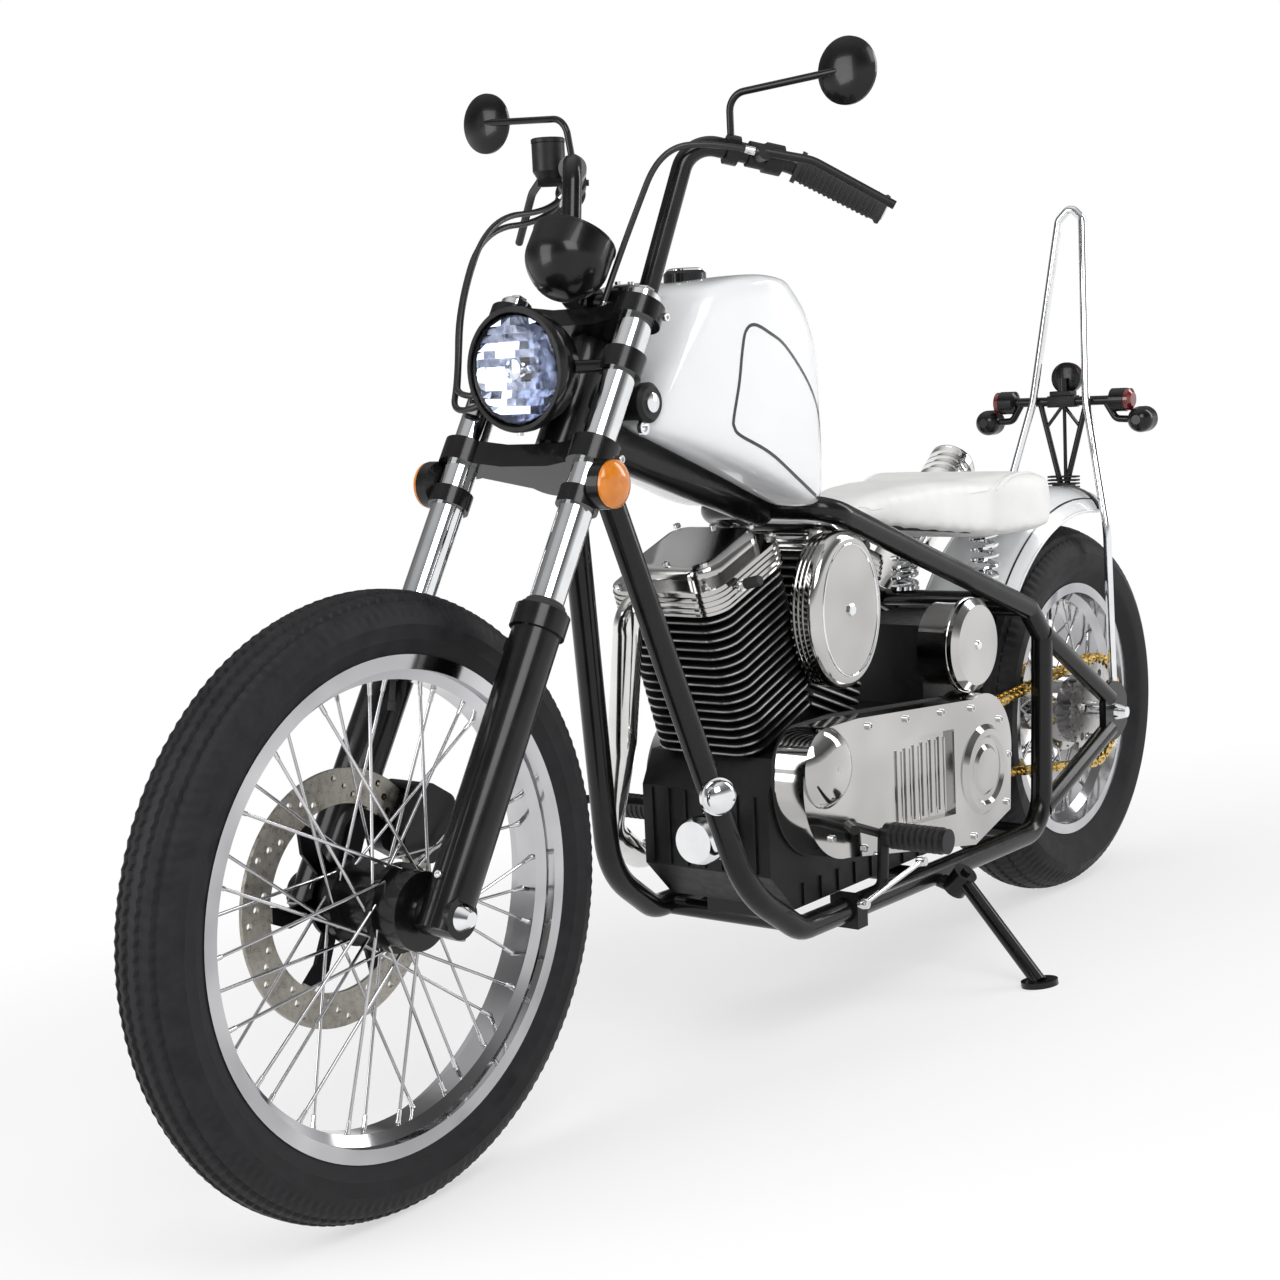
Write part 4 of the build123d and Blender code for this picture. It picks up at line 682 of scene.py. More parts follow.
# ---- lines and ribbons on a surface ----
def ribbon(path, half, lift=0.35, closed=False):
    """A thin flat band; the path is (point, outward normal) pairs in upright millimetres."""
    points = []
    line = [here for here, _ in path]
    count = len(path)
    for k, (here, out) in enumerate(path):
        before, after = neighbours(line, k, closed)
        side = (after - before).cross(out).normalized() * half
        points += [here - side + out * lift, here + side + out * lift, here + side - out, here - side - out]
    faces = net(count, 4, True, closed)
    if not closed:
        faces += [(0, 1, 2, 3), (count * 4 - 1, count * 4 - 2, count * 4 - 3, count * 4 - 4)]
    return points, faces


def projected(piece, starts, way):
    """Where lines from the start points meet a piece, with the surface's normal there."""
    reach = (TURN.to_3x3() @ Vector(way)).normalized()
    found = []
    for start in starts:
        hit, place, normal, _ = piece.ray_cast(ROW @ Vector(start), reach)
        if hit:
            found.append((UPRIGHT @ place, (TURN.to_3x3().transposed() @ normal).normalized()))
    return found


# ---- tank, with its two outlines ----
TANK_OUTLINE = [
    (1040, 974), (1012, 963), (980, 946), (936, 906), (905, 866), (888, 826), (878, 785), (877, 762),
    (886, 747), (902, 748), (959, 777), (1019, 812), (1068, 836), (1079, 848), (1079, 861), (1069, 903),
    (1062, 944), (1055, 967)]
tank = softened("tank_skin", "fuel_tank", 6, 110, WHITE)
stripes = []
for side in SIDES:
    starts = [(p.x, side * 400, p.y) for p in rounded_curve(TANK_OUTLINE, 6, closed=True)]
    stripes.append(ribbon(projected(tank, starts, RIGHT * side), 2.1, closed=True))
add("tank_pinstripes", stripes, PINSTRIPE)


# ---- saddle ----
BLOW_FRAMES = 20
MOST_BLOW = 0.007


def blown(piece):
    """Fills the cushion a little with a cloth simulation; no point moves farther than MOST_BLOW."""
    before = [v.co.copy() for v in piece.data.vertices]
    cloth = piece.modifiers.new("blow", "CLOTH")
    cloth.settings.use_pressure = True
    cloth.settings.uniform_pressure_force = 4
    cloth.settings.effector_weights.gravity = 0
    cloth.settings.quality = 5
    cloth.point_cache.frame_start = 1
    cloth.point_cache.frame_end = BLOW_FRAMES
    stage_frame = bpy.context.scene.frame_current
    for number in range(1, BLOW_FRAMES + 1):
        bpy.context.scene.frame_set(number)
    apply(piece, "blow")
    bpy.context.scene.frame_set(stage_frame)
    for vertex, old in zip(piece.data.vertices, before):
        move = vertex.co - old
        if move.length > MOST_BLOW:
            vertex.co = old + move.normalized() * MOST_BLOW


def saddle():
    """The CAD saddle, remeshed, blown up a little and smoothed."""
    piece = softened("saddle_cover", "seat", 6, 14, LEATHER)
    blown(piece)
    piece.modifiers.new("relax", "SMOOTH").iterations = 10
    finer = piece.modifiers.new("finer", "SUBSURF")
    finer.levels = finer.render_levels = 1
    apply(piece, "relax", "finer")
    return piece


saddle_cover = saddle()
SADDLE_PLAN = [(690, 50), (640, 66), (560, 82), (480, 100), (400, 111), (320, 117), (250, 115),
               (200, 101), (165, 74), (150, 38), (146, 0)]
half_plan = rounded_curve([(x, y, 0) for x, y in SADDLE_PLAN], 6)


def on_saddle(inset):
    """The saddle's plan outline, moved in, from the nose round the tail and back, on the leather."""
    left = []
    for before, here, after in zip(half_plan, half_plan[1:], half_plan[2:]):
        way = (after - before).normalized()
        left.append(here + vec(way.y, -way.x, 0) * inset)
    left = [p for p in left if p.y > 0.5]
    ring = [*left, *[other_side(p) for p in reversed(left)]]
    return projected(saddle_cover, [(p.x, p.y, 900) for p in ring], DOWN)


welt = sweep([p + n * 0.4 for p, n in on_saddle(9)], 2.0, 8)
add("saddle_seam_welt", welt, LEATHER, sharp=80)


def stitches(row):
    """Short raised threads in a row."""
    pitch, length, radius = 6, 3.4, 0.55
    line = [p for p, _ in row]
    lengths = along_path(line)
    threads = []
    for number in range(int(lengths[-1] / pitch)):
        ends = []
        for reach in (number * pitch, number * pitch + length):
            here, at = place_at(line, lengths, reach)
            ends.append(here + row[at][1] * 0.35)
        middle = (ends[0] + ends[1]) / 2 + row[at][1] * 0.25
        threads.append(sweep([ends[0], middle, ends[1]], radius, 5))
    return threads


add("saddle_stitches", stitches(on_saddle(14)) + stitches(on_saddle(4)), THREAD, sharp=80)


def saddle_pan():
    """The black pan under the leather, turned up at its edges."""
    stations = [(704, 48, 690), (660, 56, 684), (600, 70, 676), (520, 84, 667), (430, 100, 656),
                (330, 106, 651), (240, 104, 651), (190, 88, 660), (160, 60, 673)]
    shares = (-1, -0.96, -0.5, 0, 0.5, 0.96, 1)
    thick, turned_up = 6, 5
    points = []
    for x, half, z in stations:
        under = [vec(x, half * s, z + (turned_up if abs(s) == 1 else 0)) for s in shares]
        points += [*under, *[p + UP * thick for p in reversed(under)]]
    size = 2 * len(shares)
    ends = []
    for start in (0, size * (len(stations) - 1)):
        for i in range(len(shares) - 1):
            ends.append((start + i, start + i + 1, start + size - 2 - i, start + size - 1 - i))
    return points, [*net(len(stations), size, True, False), *ends]


add("saddle_pan", saddle_pan(), PLASTIC, sharp=50)

# ---- rear fender: rolled edge, outline and strap ----
FENDER_TOP, FENDER_SHOULDER, FENDER_EDGE = (0, 378), (63, 366), (84, 338)


def circle_through(first, second, third):
    """The centre and radius of the circle through three flat points."""
    (ax, ay), (bx, by), (cx, cy) = first, second, third
    d = 2 * (ax * (by - cy) + bx * (cy - ay) + cx * (ay - by))
    a2, b2, c2 = ax * ax + ay * ay, bx * bx + by * by, cx * cx + cy * cy
    x = (a2 * (by - cy) + b2 * (cy - ay) + c2 * (ay - by)) / d
    y = (a2 * (cx - bx) + b2 * (ax - cx) + c2 * (bx - ax)) / d
    return x, y, hypot(ax - x, ay - y)


def fender_place(turn, y, out=0.0):
    """Point and outward normal on the fender's skin at an angle (degrees) and a Y."""
    middle_y, middle_r, size = circle_through(FENDER_TOP, FENDER_SHOULDER, FENDER_EDGE)
    lean_y = abs(y) - middle_y
    rise = sqrt(max(size * size - lean_y * lean_y, 0))
    spoke = wheel_way(radians(turn))
    side = 1 if y >= 0 else -1
    way = (spoke * (rise / size) + LEFT * side * (lean_y / size)).normalized()
    return REAR_AXLE + spoke * (middle_r + rise) + LEFT * y + way * out, way


def fender_outline(y_side, tail_x, first):
    """A path up the left side, round the tail and down the right, at a Y and a tail X."""
    last, side_end_x, steps = 97, -50, 24
    path = [fender_place(first + k * (last - first) / steps, y_side) for k in range(steps + 1)]
    turns = []
    for k in range(1, steps):
        a = pi * k / steps
        y = y_side * cos(a)
        x = side_end_x + (tail_x - side_end_x) * sin(a)
        radius = (fender_place(90, y)[0] - REAR_AXLE).z
        turns.append(fender_place(degrees(acos(x / radius)), y))
    right = [(other_side(p), other_side(n)) for p, n in reversed(path)]
    return [*path, *turns, *right]


bead = sweep([p - n * 1.5 for p, n in fender_outline(83.5, -116, 38.5)], 3.2, 8)
add("fender_bead", bead, WHITE, sharp=70)
add("fender_pinstripe", ribbon(fender_outline(70, -100, 40), 1.6, 0.3), PINSTRIPE)
strap = [fender_place(100, -82 + 164 * k / 20, 1.0) for k in range(21)]
add("fender_strap", ribbon(strap, 6.0, 1.8), BLACK)


# ---- springs ----
SPRING_X, SPRING_Y = 338, 72


def seat_spring(y):
    """A coil between its two seats."""
    turns, steps, radius, low, height = 5.5, 110, 19, 560, 90
    path = []
    for k in range(steps + 1):
        t = k / steps
        a = 2 * pi * turns * t
        path.append((SPRING_X + radius * cos(a), y + radius * sin(a), low + height * t))
    return sweep(path, 4.0, 8)


spring_shapes = [seat_spring(SPRING_Y), seat_spring(-SPRING_Y)]
for side in SIDES:
    for z, thick in ((556, 6), (648, 5)):
        spring_shapes.append(drum(23, 0, thick, (SPRING_X, side * SPRING_Y, z), UP, 28))
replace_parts(add("seat_coil_springs", spring_shapes, CHROME), "seat_springs")

# ---- headlamp: glass, faceted reflector, bulb ----
LAMP_AT = vec(1355.0, 0.0, 931.0)
LAMP_GLASS = [(-4, 66.6), (-1.5, 66.6), (2.2, 62), (6.0, 52), (9.4, 40), (12.0, 26), (13.4, 12), (13.8, 0)]
LAMP_RIM = [(-13, 73.4), (-12, 74.2), (-2, 74.2), (0.6, 72.5), (0.6, 68), (-1, 67.4)]
BULB = [(-15, 9), (-13, 9), (-12, 6.5), (-4, 6.5), (-1, 5), (0, 0)]
BULB_CAP = [(0.4, 12), (1.4, 12), (2.4, 9), (3.0, 0)]


def lamp_glass():
    """A domed front glass with upright flutes, on a short skirt behind its rim."""
    points, faces = lathe(LAMP_GLASS, LAMP_AT, FORWARD, 144, first=False)
    for point in points:
        point.x += 0.35 * sin(point.y * 0.7) - 0.35
    return points, faces


stand_for(add("headlight_glass", lamp_glass(), GLASS, "steering", sharp=70), "headlight_lens")


def reflector():
    """Mirror facets in level bands on a shallow bowl, each a closed block turned its own way."""
    wide, high, bowl_radius, bowl_depth, back = 15.0, 9.5, 63.5, 14.2, 15.9
    square = ((-0.5, -0.5), (0.5, -0.5), (0.5, 0.5), (-0.5, 0.5))
    shapes = []
    for row in range(-7, 8):
        for column in range(-5, 6):
            shift = 0.5 if row % 2 else 0.0
            corners = [((column + shift + dy) * wide, (row + dz) * high) for dy, dz in square]
            bulb_hole = hypot(column * wide, row * high) < 10
            if bulb_hole or min(hypot(y, z) for y, z in corners) > bowl_radius:
                continue
            nod = (-1.0, 0.55, 0.1)[row % 3] + ((column * 5 + row) % 3 - 1) * 0.25
            turn = ((row * 3 + column * 4) % 5 - 2) / 4
            points = []
            for (y, z), (dy, dz) in zip(corners, square):
                far = min(bowl_radius / hypot(y, z), 1)
                y, z = y * far, z * far
                depth = 8.0 * (hypot(y, z) / bowl_radius) ** 2 - bowl_depth + nod * dz * 2.4 + turn * dy * 1.6
                points.append(LAMP_AT + vec(max(depth, -15.4), y, z))
            points += [vec(LAMP_AT.x - back, p.y, p.z) for p in points]
            shapes.append((points, [(0, 1, 2, 3), (7, 6, 5, 4), *net(2, 4, True, False)]))
    return shapes


add("headlight_reflector", reflector(), REFLECTOR, "steering", sharp=3)
add("headlight_bulb", [lathe(p, LAMP_AT, FORWARD, 24) for p in (BULB, BULB_CAP)], CHROME, "steering")
add("headlight_rim_band", lathe(LAMP_RIM, LAMP_AT, FORWARD, 72, ring=True), BLACK, "steering")
add("headlight_rim_screw", cap_screw(LAMP_AT + vec(-7, 0, -74), DOWN, 3.6), BARE, "steering")

# ---- speedometer ----
FACING = vec(-0.56, 0, 0.83).normalized()
DIAL_UP = vec(0.83, 0, 0.56).normalized()
SPEEDO_AT = vec(1228.0, 0.0, 1084.0)
BOWL_RADIUS, BOWL_DEPTH, STEM_RADIUS = 52, 78, 16
BEZEL = [(-31.2, 52), (-3, 52), (-2.4, 52.8), (0, 52.8), (1.2, 51.6), (1.2, 48.6), (-2.5, 47.6), (-2.5, 0)]


def dial_point(turn, radius, lift):
    """A place on the dial, at an angle clockwise from its top."""
    a = radians(turn)
    return SPEEDO_AT + RIGHT * (radius * sin(a)) + DIAL_UP * (radius * cos(a)) + FACING * lift


def bowl_profile():
    """The CAD bowl's arc from the back plate to its widest ring, then the bezel."""
    profile = [(-BOWL_DEPTH, 0), (-BOWL_DEPTH, STEM_RADIUS)]
    for k in range(1, 13):
        t = k / 13
        bulge = STEM_RADIUS + (BOWL_RADIUS - STEM_RADIUS) * sin(pi / 2 * t) ** 0.72
        profile.append((-BOWL_DEPTH + t * (BOWL_DEPTH + BEZEL[0][0]), bulge))
    return [*profile, *BEZEL]


def dial_disc(radius, back, thickness):
    """A flat disc in the bowl, closed on its axis."""
    front = back + thickness
    return lathe([(back, 0), (back, radius), (front, radius), (front, 0)], SPEEDO_AT, FACING, 64)


speedo = [
    lathe(bowl_profile(), SPEEDO_AT, FACING, 72),
    lathe([(0, 13), (11, 13), (12, 12)], on_fork(10, 0, 763.3), LEG_UP, 28),
    sweep([on_fork(10, 0, 771), SPEEDO_AT + vec(10, 0, -30)], 9, 24)]
stand_for(add("speedo_bowl", speedo, BLACK, "steering"), "speedometer")
add("speedo_dial", dial_disc(47.4, -2.3, 0.7), DIAL, "steering")
ticks = []
for k in range(33):
    inner, half = (37, 0.75) if k % 4 == 0 else (40.5, 0.4)
    line = [dial_point(-120 + 240 * k / 32, radius, -1.55) for radius in (inner, 44)]
    ticks.append(ribbon([(p, FACING) for p in line], half, 0.15))
add("speedo_ticks", ticks, INK, "steering")
needle = [ribbon([(dial_point(-120, radius, -0.7), FACING) for radius in (-9, 38)], 0.8, 0.3),
          lathe([(-1.5, 4.5), (0.2, 4.5), (0.6, 3.5), (0.6, 0)], SPEEDO_AT, FACING, 20)]
add("speedo_needle", needle, AMBER, "steering")
add("speedo_glass", dial_disc(48.3, 0.2, 0.7), GLASS, "steering")


def dial_number(k):
    """A generic number on the dial: every 20, 30 degrees apart."""
    curve = bpy.data.curves.new("speedo_number_%d" % k, "FONT")
    curve.body = str(20 * k)
    curve.size = 0.0085
    curve.extrude = 0.00008
    curve.align_x = "CENTER"
    curve.align_y = "CENTER"
    curve.materials.append(INK)
    numeral = link(curve.name, curve)
    facing = Matrix((RIGHT, DIAL_UP, FACING)).transposed().to_4x4()
    numeral.matrix_world = Matrix.Translation(ROW @ dial_point(-120 + 30 * k, 30, -1.45)) @ TURN @ facing
    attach(numeral, "steering")


for k in range(9):
    dial_number(k)

# ---- fork and bar trim ----
LEG_Y, LEG_TOP, SLIDER_TOP = 100, 770, 360
YOKE_SCREWS, CALIPER_BOLTS = (561, 751), (92, 144)
LEG_CAP = [(0, 20.4), (5, 20.4), (7, 18.5), (7, 12)]
LEG_NUT = [(7, 11), (14, 11), (15, 9.6)]
DUST_SEAL = [(0, 27), (5, 27), (7, 24), (10, 23.4), (12, 21.2)]
fork_trim, fork_rubber, bolts = [], [], []
for y in (LEG_Y, -LEG_Y):
    out = LEFT if y > 0 else RIGHT
    top = on_fork(0, y, LEG_TOP)
    fork_trim += [lathe(LEG_CAP, top, LEG_UP, 36), lathe(LEG_NUT, top, LEG_UP, 6)]
    fork_rubber.append(lathe(DUST_SEAL, on_fork(0, y, SLIDER_TOP), LEG_UP, 40))
    for up in YOKE_SCREWS:
        bolts += cap_screw(on_fork(-12, y, up) + out * 29.6, out, 5)
    bolts += cap_screw(on_fork(-28, y, 60), -LEG_FORWARD, 5)
    bolts += cap_screw(on_fork(29, y, 36), LEG_FORWARD, 4.5)
    for x in (1157, 1183):
        bolts += cap_screw((x, 28 if y > 0 else -28, 1029), UP, 4)
bolts += bolt(on_fork(-45, 0, 763), LEG_UP, 15, 12)
for up in CALIPER_BOLTS:
    bolts += bolt(on_fork(-36, -126, up), RIGHT, 6)
add("fork_top_caps", fork_trim, CHROME, "steering")
add("fork_dust_seals", fork_rubber, RUBBER, "steering")
add("steering_bolts", bolts, BARE, "steering")

BAR_TIP = vec(946.0, 264.0, 1109.0)
BAR_CORNER = vec(1012.0, 175.0, 1170.0)
BAR_INNER = vec(1110.0, 92.0, 1200.0)
INBOARD = (BAR_CORNER - BAR_TIP).normalized()
CONTROL_WAY = (BAR_INNER - BAR_CORNER).normalized()
TO_RIDER = vec(-0.646, -0.763, 0)
GRIP_RIB = [(0, 16.4), (0.6, 17.8), (3.4, 17.8), (4, 16.4)]
BAR_END = [(4, 15), (1, 15), (-3, 14), (-4.5, 12), (-4.5, 0)]
grip_ribs = [lathe(GRIP_RIB, BAR_TIP + INBOARD * (10 + 6.6 * k), INBOARD, 32) for k in range(15)]
weight = lathe(BAR_END, BAR_TIP - INBOARD * 1.5, INBOARD, 32)
housing = BAR_CORNER + CONTROL_WAY * 23
button = lathe([(0, 4.2), (3.4, 4.2), (4, 3.4)], housing + TO_RIDER * 18.4, TO_RIDER, 16)
rocker = slab((-5, -2.6), (5, 2.6), housing + TO_RIDER * 15 + UP * 11, CONTROL_WAY, UP, -4)
add("grip_ribs", mirrored(grip_ribs), RUBBER, "steering")
add("bar_end_weights", mirrored([weight]), BARE, "steering")
add("switch_buttons", mirrored([button, rocker]), PLASTIC, "steering")
CUP_TOP = vec(1064.1, -170.2, 1230.0)
add("fluid_cup_lid", lathe([(-3, 22.6), (1.5, 22.6), (3, 21), (3, 0)], CUP_TOP, UP, 40), SATIN, "steering")
window = lathe([(0, 7), (1.4, 7), (1.8, 6), (1.8, 0)], CUP_TOP + vec(-21.3, 0, -22), BACK, 28)
add("fluid_cup_window", window, BARE, "steering")
mirror = lathe([(0.2, 35.6), (1, 35.6), (1.6, 34.8), (1.6, 0)], (1048, 286, 1265), BACK, 56)
add("mirror_faces", mirrored([mirror]), MIRROR, "steering")

# ---- engine trim ----
CRANK = vec(873, 0, 293)
CYLINDER_LEAN = radians(20)
CASE_TOP = 410
FINS, FIN_LOW, FIN_PITCH = 16, 160.5, 13
HEAD_RIB_LEVELS = (369, 376.5, 384, 391.5)


def on_cylinder(way, along, across, up):
    """A point on the front (1) or rear (-1) cylinder, and the cylinder's own way up."""
    a = CYLINDER_LEAN * way
    x = CRANK.x + along * cos(a) + up * sin(a)
    z = CRANK.z - along * sin(a) + up * cos(a)
    return vec(x, across, z), vec(sin(a), 0, cos(a))


def fin_runs(way, half_length, half_width, level, corner=34):
    """One fin's rounded outline in runs, cut where the other cylinder and the crankcase begin."""
    root, _ = on_cylinder(way, 0, 0, 0)
    loop = []
    for across, along, first in ((1, 1, 0), (1, -1, 1), (-1, -1, 2), (-1, 1, 3)):
        for k in range(7):
            a = pi / 2 * (first + k / 6)
            x = along * (half_length - corner) + corner * cos(a)
            y = across * (half_width - corner) + corner * sin(a)
            here, _ = on_cylinder(way, x, y, level)
            tip, _ = on_cylinder(way, cos(a), sin(a), 0)
            loop.append((here, (tip - root).normalized()))
    loop.append(loop[0])
    runs = [[]]
    for here, out in loop:
        if here.z > CASE_TOP and way * (here.x - CRANK.x) > 2.5:
            runs[-1].append((here, out))
        else:
            runs.append([])
    return [r for r in runs if len(r) > 1]


fin_edges, head_ribs = [], []
for way in (1, -1):
    for k in range(FINS):
        runs = fin_runs(way, half_length=89, half_width=86, level=FIN_LOW + FIN_PITCH * k)
        fin_edges += [ribbon(run, 1.1, 0.3) for run in runs]
    for level in HEAD_RIB_LEVELS:
        runs = fin_runs(way, half_length=91, half_width=89, level=level)
        head_ribs += [ribbon(run, 1.6, 2.0) for run in runs]
add("fin_edges", fin_edges, EDGE)
add("head_ribs", head_ribs, POLISHED)

case_ribs = [slab((-2, 256), (2, 360), (1017, -82 + 28 * k, 0), LEFT, UP, 4.5) for k in range(7)]
case_ribs += [slab((-2, 0), (2, 30), (590 + 44 * k, 107.5, 200), FORWARD, UP, -3.5) for k in range(9)]
add("crankcase_ribs", case_ribs, WRINKLE)
OIL_FILTER = [(0, 31), (4, 34), (8, 34), (8, 32.5), (52, 32.5), (60, 28), (60, 0)]
add("oil_filter", lathe(OIL_FILTER, (1018.5, 28, 306), FORWARD, 48), CHROME)
ROD_ENDS = [vec(924, 192, 207), vec(768, 192, 231)]
rod_eyes = [lathe([(-7, 0), (-7, 6), (0, 7.5), (7, 6), (7, 0)], end, LEFT, 16) for end in ROD_ENDS]
add("shift_rod", [sweep(ROD_ENDS, 3.6, 12), *rod_eyes], BARE)

rocker_bolts, plugs, plug_caps = [], [], []
for way in (1, -1):
    for along in SIDES:
        for across in (-60, 0, 60):
            rocker_bolts += cap_screw(*on_cylinder(way, 58 * along, across, 423.2), 5)
        for across in (-70, 70):
            rocker_bolts += bolt(*on_cylinder(way, 80 * along, across, 400), 6, 6)
    here, up = on_cylinder(way, 30, 88.5, 383)
    tilt = LEFT + up * 0.25
    plugs += [lathe([(0, 9), (4, 9), (4, 7)], here, tilt, 6), drum(5.5, 4, 12, here, tilt, 20)]
    plug_caps.append(lathe([(10, 7.5), (30, 7.5), (34, 6), (34, 0)], here, tilt, 20))
add("rocker_bolts", rocker_bolts, BARE)
add("spark_plugs", plugs, BARE)
add("plug_caps", plug_caps, RUBBER)

LEFT_COVER_Y, RIGHT_COVER_Y = 157.6, -142.6
LEFT_SCREWS = [(842, 431), (742, 425), (642, 418), (552, 410), (466, 380), (441, 322), (448, 250), (552, 218),
               (660, 234), (762, 249), (862, 266), (944, 296)]
RIGHT_SCREWS = [(820, 436), (500, 400), (412, 330), (500, 262), (850, 253), (938, 345)]
cover_bolts = []
for x, z in LEFT_SCREWS:
    cover_bolts += cap_screw((x, LEFT_COVER_Y, z), LEFT, 5)
for x, z in RIGHT_SCREWS:
    cover_bolts += cap_screw((x, RIGHT_COVER_Y, z), RIGHT, 5)
add("cover_bolts", cover_bolts, BARE)
# the left cover's corners in (x, z), each with the middle of the arc that leads to it, if any
COVER_CORNERS = [((868, 446), None), ((545, 422), None), ((430, 320), (455, 400)), ((548, 204), (436, 236)),
                 ((905, 262), None), ((1006, 393), (990, 310)), ((953, 446), (985, 434))]


def arc_through(start, middle, end, steps=12):
    """Points on the circle through three points, from after the start to the end."""
    x, y, radius = circle_through(start, middle, end)
    first, half, last = (atan2(p[1] - y, p[0] - x) for p in (start, middle, end))
    turn = (last - first) % (2 * pi)
    if (half - first) % (2 * pi) > turn:
        turn -= 2 * pi
    turns = [first + turn * k / steps for k in range(1, steps + 1)]
    return [(x + radius * cos(a), y + radius * sin(a)) for a in turns]


def cover_outline(growth):
    """The left cover's outline in (x, z), grown all round."""
    points = []
    before = COVER_CORNERS[-1][0]
    for corner, middle in COVER_CORNERS:
        points += arc_through(before, middle, corner) if middle else [corner]
        before = corner
    moved = []
    for k, (x, z) in enumerate(points):
        after, behind = points[(k + 1) % len(points)], points[k - 1]
        along = (after[0] - behind[0], after[1] - behind[1])
        reach = growth / hypot(*along)
        moved.append((x + along[1] * reach, z - along[0] * reach))
    return moved


add("cover_gasket", prism(cover_outline(2.6), (0, 108.4, 0), FORWARD, UP, -3.2), SATIN)
panel = [slab((628 + 24 * k, 272), (632 + 24 * k, 380), (0, 152.6, 0), FORWARD, UP, -3) for k in range(6)]
add("cover_panel_ribs", panel, POLISHED, bevel=0.6)
INTAKE_AT = vec(838, 134, 589)
rim = [INTAKE_AT + vec(70 * cos(a), 0.1, 90 * sin(a)) for a in (2 * pi * k / 96 for k in range(96))]
intake = [lathe([(0, 9), (3, 9), (4.5, 7), (4.5, 0)], INTAKE_AT + RIGHT * 0.2, LEFT, 6),
          sweep(rim, 1.6, 8, closed=True)]
add("intake_trim", intake, CHROME)
canister = vec(499, 144, 496)
knob = lathe([(0, 7), (2, 7), (3.4, 5), (3.4, 0)], canister, LEFT, 24)
add("canister_trim", [knob, drum(71.2, -20, 4, canister, LEFT, 72)], CHROME)
cap_at, cap_way = (1126, 105.5, 384), (0.45, 0.89, 0)
dome = lathe([(0, 22), (10, 22), (13, 20), (19, 13), (21, 0)], cap_at, cap_way, 40)
add("downtube_cap", [dome, drum(24.5, -4, 6, cap_at, cap_way, 40)], CHROME)

# ---- ignition switch at the neck ----
SWITCH_AT = vec(1190, 30, 884)
SWITCH = [(0, 21), (26, 21), (36, 25), (43, 25), (48, 20), (48, 0)]
switch = [lathe(SWITCH, SWITCH_AT, LEFT, 40), sweep([(1190, 2, 862), (1190, 38, 882)], 10, 20)]
add("ignition_housing", switch, PLASTIC)
keyhole = lathe([(48, 12), (50, 12), (51, 10.5), (51, 0)], SWITCH_AT, LEFT, 32)
ring = lathe([(34, 9), (40, 9), (40, 5), (34, 5)], SWITCH_AT + vec(6, 0, -30), LEFT, 28)
add("ignition_ring", [keyhole, ring], CHROME)

# ---- exhaust trim ----
MUFFLER_FROM, MUFFLER_TIP = vec(560, -204, 262), vec(-70, -204, 735)
MUFFLER_WAY = (MUFFLER_TIP - MUFFLER_FROM).normalized()
bands = [drum(43.2, at, 14, MUFFLER_FROM, MUFFLER_WAY) for at in (70, 330, 560)]
lip = [(-3, 42.4), (0, 42.4), (2, 41), (2, 31), (-3, 29.8)]
bands.append(lathe(lip, MUFFLER_TIP, MUFFLER_WAY, ring=True))
add("muffler_bands", bands, CHROME)
throat = lathe([(-49.4, 29.6), (-2, 29.6)], MUFFLER_TIP, MUFFLER_WAY, 40, last=False)
add("muffler_throat", throat, SOOT)

# ---- tail lamp, lattice, foot pegs ----
TAIL_AT = (-106.6, 0.0, 878.0)
housing = lathe([(0, 0), (0, 20), (4, 27.2), (12, 27.2), (12.5, 26)], TAIL_AT, BACK)
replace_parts(add("tail_lamp_housing", housing, BLACK), "tail_lamp")
lens = lathe([(12.2, 26.2), (20, 26.2), (25, 22), (27.5, 12), (28, 0)], TAIL_AT, BACK)
add("tail_lamp_lens", lens, RED)
lattice = []
for side in SIDES:
    elbow = (-98, side * 32, 793)
    lattice.append(sweep([(-99.3, 0, 832), elbow], 3.2))
    lattice.append(sweep([elbow, (-95, side * 10, 702)], 3.2))
lattice.append(sweep([(-99.3, 2, 832), (-95, 4, 700)], 3.2))
add("tail_lattice", lattice, BLACK)
plates = [slab((-27, -9), (27, 9), (-95, 0, 688 + 6 * k), LEFT, BACK, 3.2) for k in range(4)]
add("tail_plates", plates, SATIN, bevel=0.8)
box = [slab((-26, -11), (26, 11), (-99, 0, 828), LEFT, BACK, 20),
       slab((-20, -13), (20, 13), (-99, 0, 848), LEFT, BACK, 8)]
add("tail_wiring_box", box, PLASTIC, bevel=1.5)
PEG_RING = [(0, 16.8), (1, 18.4), (5, 18.4), (6, 16.8)]
peg_rings = []
for out, inner in ((LEFT, 195), (RIGHT, 184)):
    peg_rings += [lathe(PEG_RING, vec(850, 0, 285) + out * (inner + 9 * k), out, 28) for k in range(9)]
add("peg_rings", peg_rings, RUBBER)
lid = lathe([(24, 24), (25.5, 24), (27, 20), (27, 0)], (1004, 0, 1026), UP, 40)
add("fuel_cap_top", lid, CHROME)


# ---- floor and light ----
def largest(tree, *values):
    """The largest of several shader values."""
    total = values[0]
    for value in values[1:]:
        total = node(tree, "Math", "Value", {0: total, 1: value}, operation="MAXIMUM")
    return total


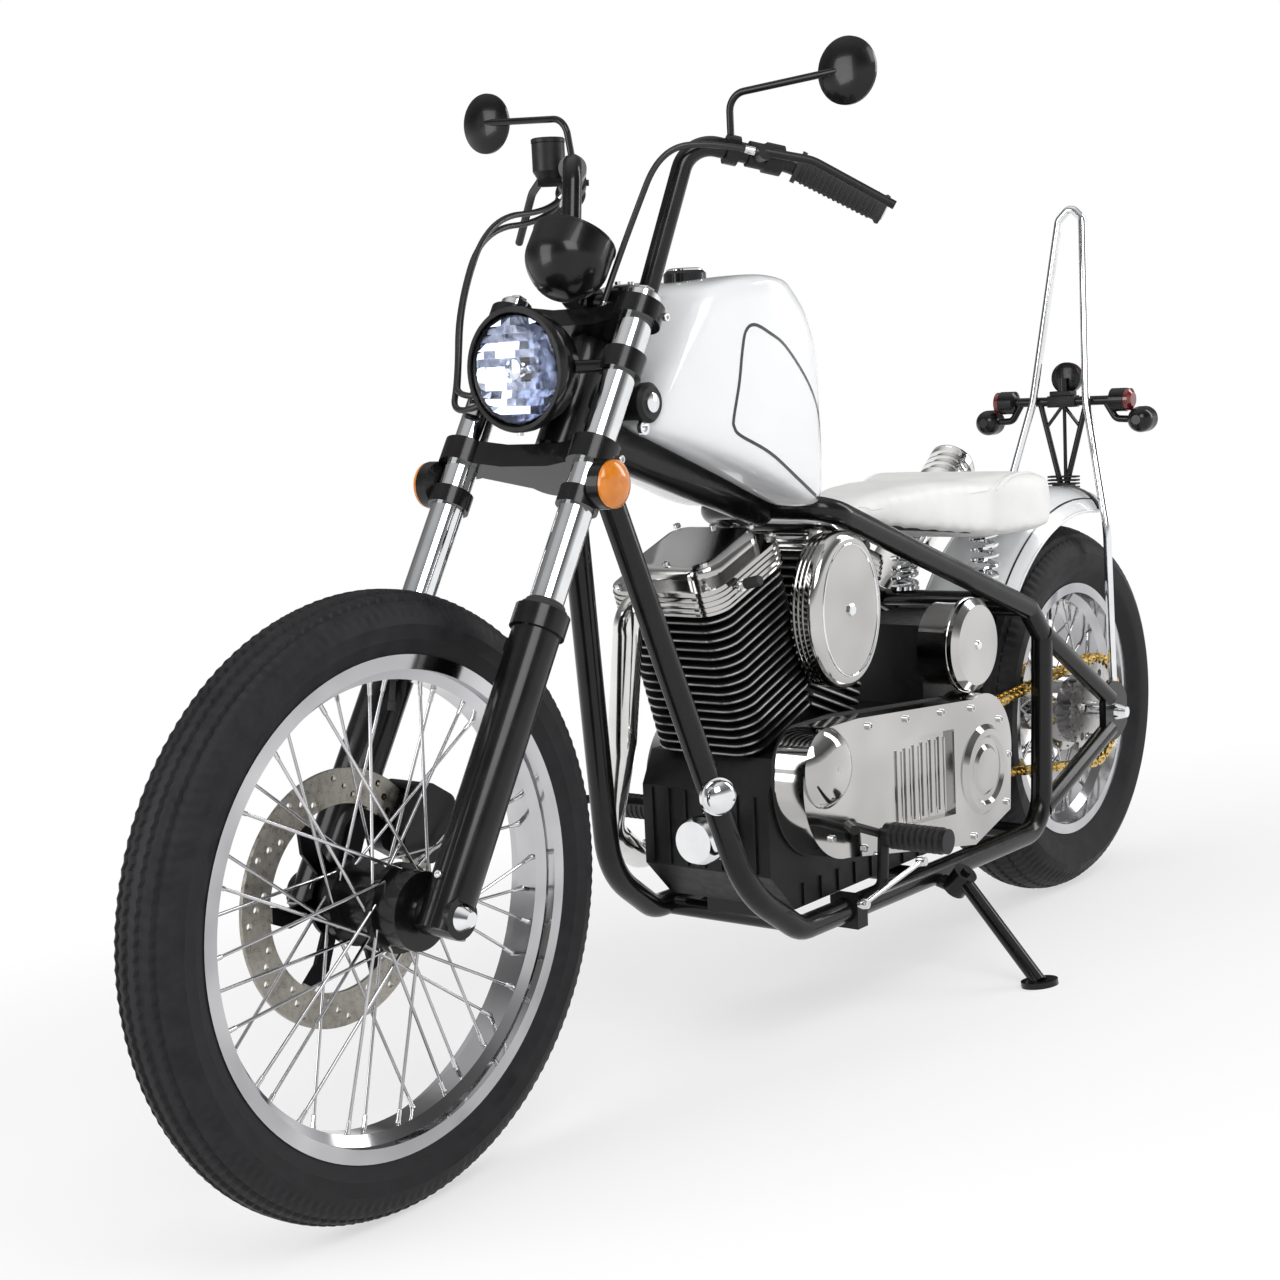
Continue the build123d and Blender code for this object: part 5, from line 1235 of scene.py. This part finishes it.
def floor_material(tone):
    """A pale floor: lit and shadowed near the bike, and plain white to every eye farther off."""
    mat = bpy.data.materials.new("pale_floor")
    tree, shader, place = opened(mat)
    stops = [(0, tone), (1, tone + 0.015)]
    wire(tree, shader, {"Roughness": 0.9, "Specular IOR Level": 0.1,
                        "Base Color": ramp(tree, cloud(tree, place, 3), stops)})
    far = node(tree, "VectorMath", "Value", {0: place}, operation="LENGTH")
    white = spread(tree, far, (0.9, 2.6), (0.6, 1), interpolation_type="SMOOTHSTEP")
    rays = node(tree, "LightPath", "Is Camera Ray", {}).node.outputs
    seen = largest(tree, rays["Is Camera Ray"], rays["Is Transmission Ray"], rays["Is Glossy Ray"])
    factor = node(tree, "Math", "Value", {0: seen, 1: white}, operation="MULTIPLY")
    surface(tree, factor, shader.outputs["BSDF"], node(tree, "Emission", "Emission", {}))
    return mat


def stage():
    mesh = bpy.data.meshes.new("floor")
    size = 12.0
    corners = [(-size, -size, 0), (size, -size, 0), (size, size, 0), (-size, size, 0)]
    mesh.from_pydata(corners, [], [(0, 1, 2, 3)])
    mesh.materials.append(floor_material(0.93))
    link("floor", mesh)


def lamp(name, place, target_z, size, power):
    """An area lamp that faces the bike's middle at a height."""
    data = bpy.data.lights.new(name, "AREA")
    data.shape = "RECTANGLE"
    data.size, data.size_y = size
    data.energy = power
    light = link(name, data)
    light.location = place
    light.rotation_euler = (UP * target_z - Vector(place)).to_track_quat("-Z", "Y").to_euler()


def studio():
    """A white room to the eye, darker bands in reflections, and three lamps."""
    world = bpy.data.worlds.new("studio")
    bpy.context.scene.world = world
    world.use_nodes = True
    tree = world.node_tree
    place = node(tree, "TexCoord", "Generated", {})
    height = node(tree, "SeparateXYZ", "Z", {"Vector": place})
    bands = [(0.0, 1.0), (0.52, 1.0), (0.57, 0.5), (0.66, 0.12), (0.84, 0.25), (1.0, 0.95)]
    room = ramp(tree, spread(tree, height, (-1, 1), (0, 1)), bands)
    rays = node(tree, "LightPath", "Is Camera Ray", {}).node.outputs
    seen = largest(tree, rays["Is Camera Ray"], rays["Is Transmission Ray"])
    white = node(tree, "Mix", 2, {"Factor": seen, 6: room, 7: rgba(1.0)}, data_type="RGBA")
    wire(tree, tree.nodes["Background"], {"Color": white, "Strength": 1.0})
    lamp("key", (2.2, 2.6, 2.8), 0.6, (2.0, 2.0), 78)
    lamp("fill", (3.4, -1.2, 1.8), 0.6, (1.8, 2.4), 60)
    lamp("back_strip", (-2.6, 1.8, 2.0), 0.5, (0.8, 2.6), 40)
    bpy.context.scene.view_settings.view_transform = "Standard"


stage()
studio()
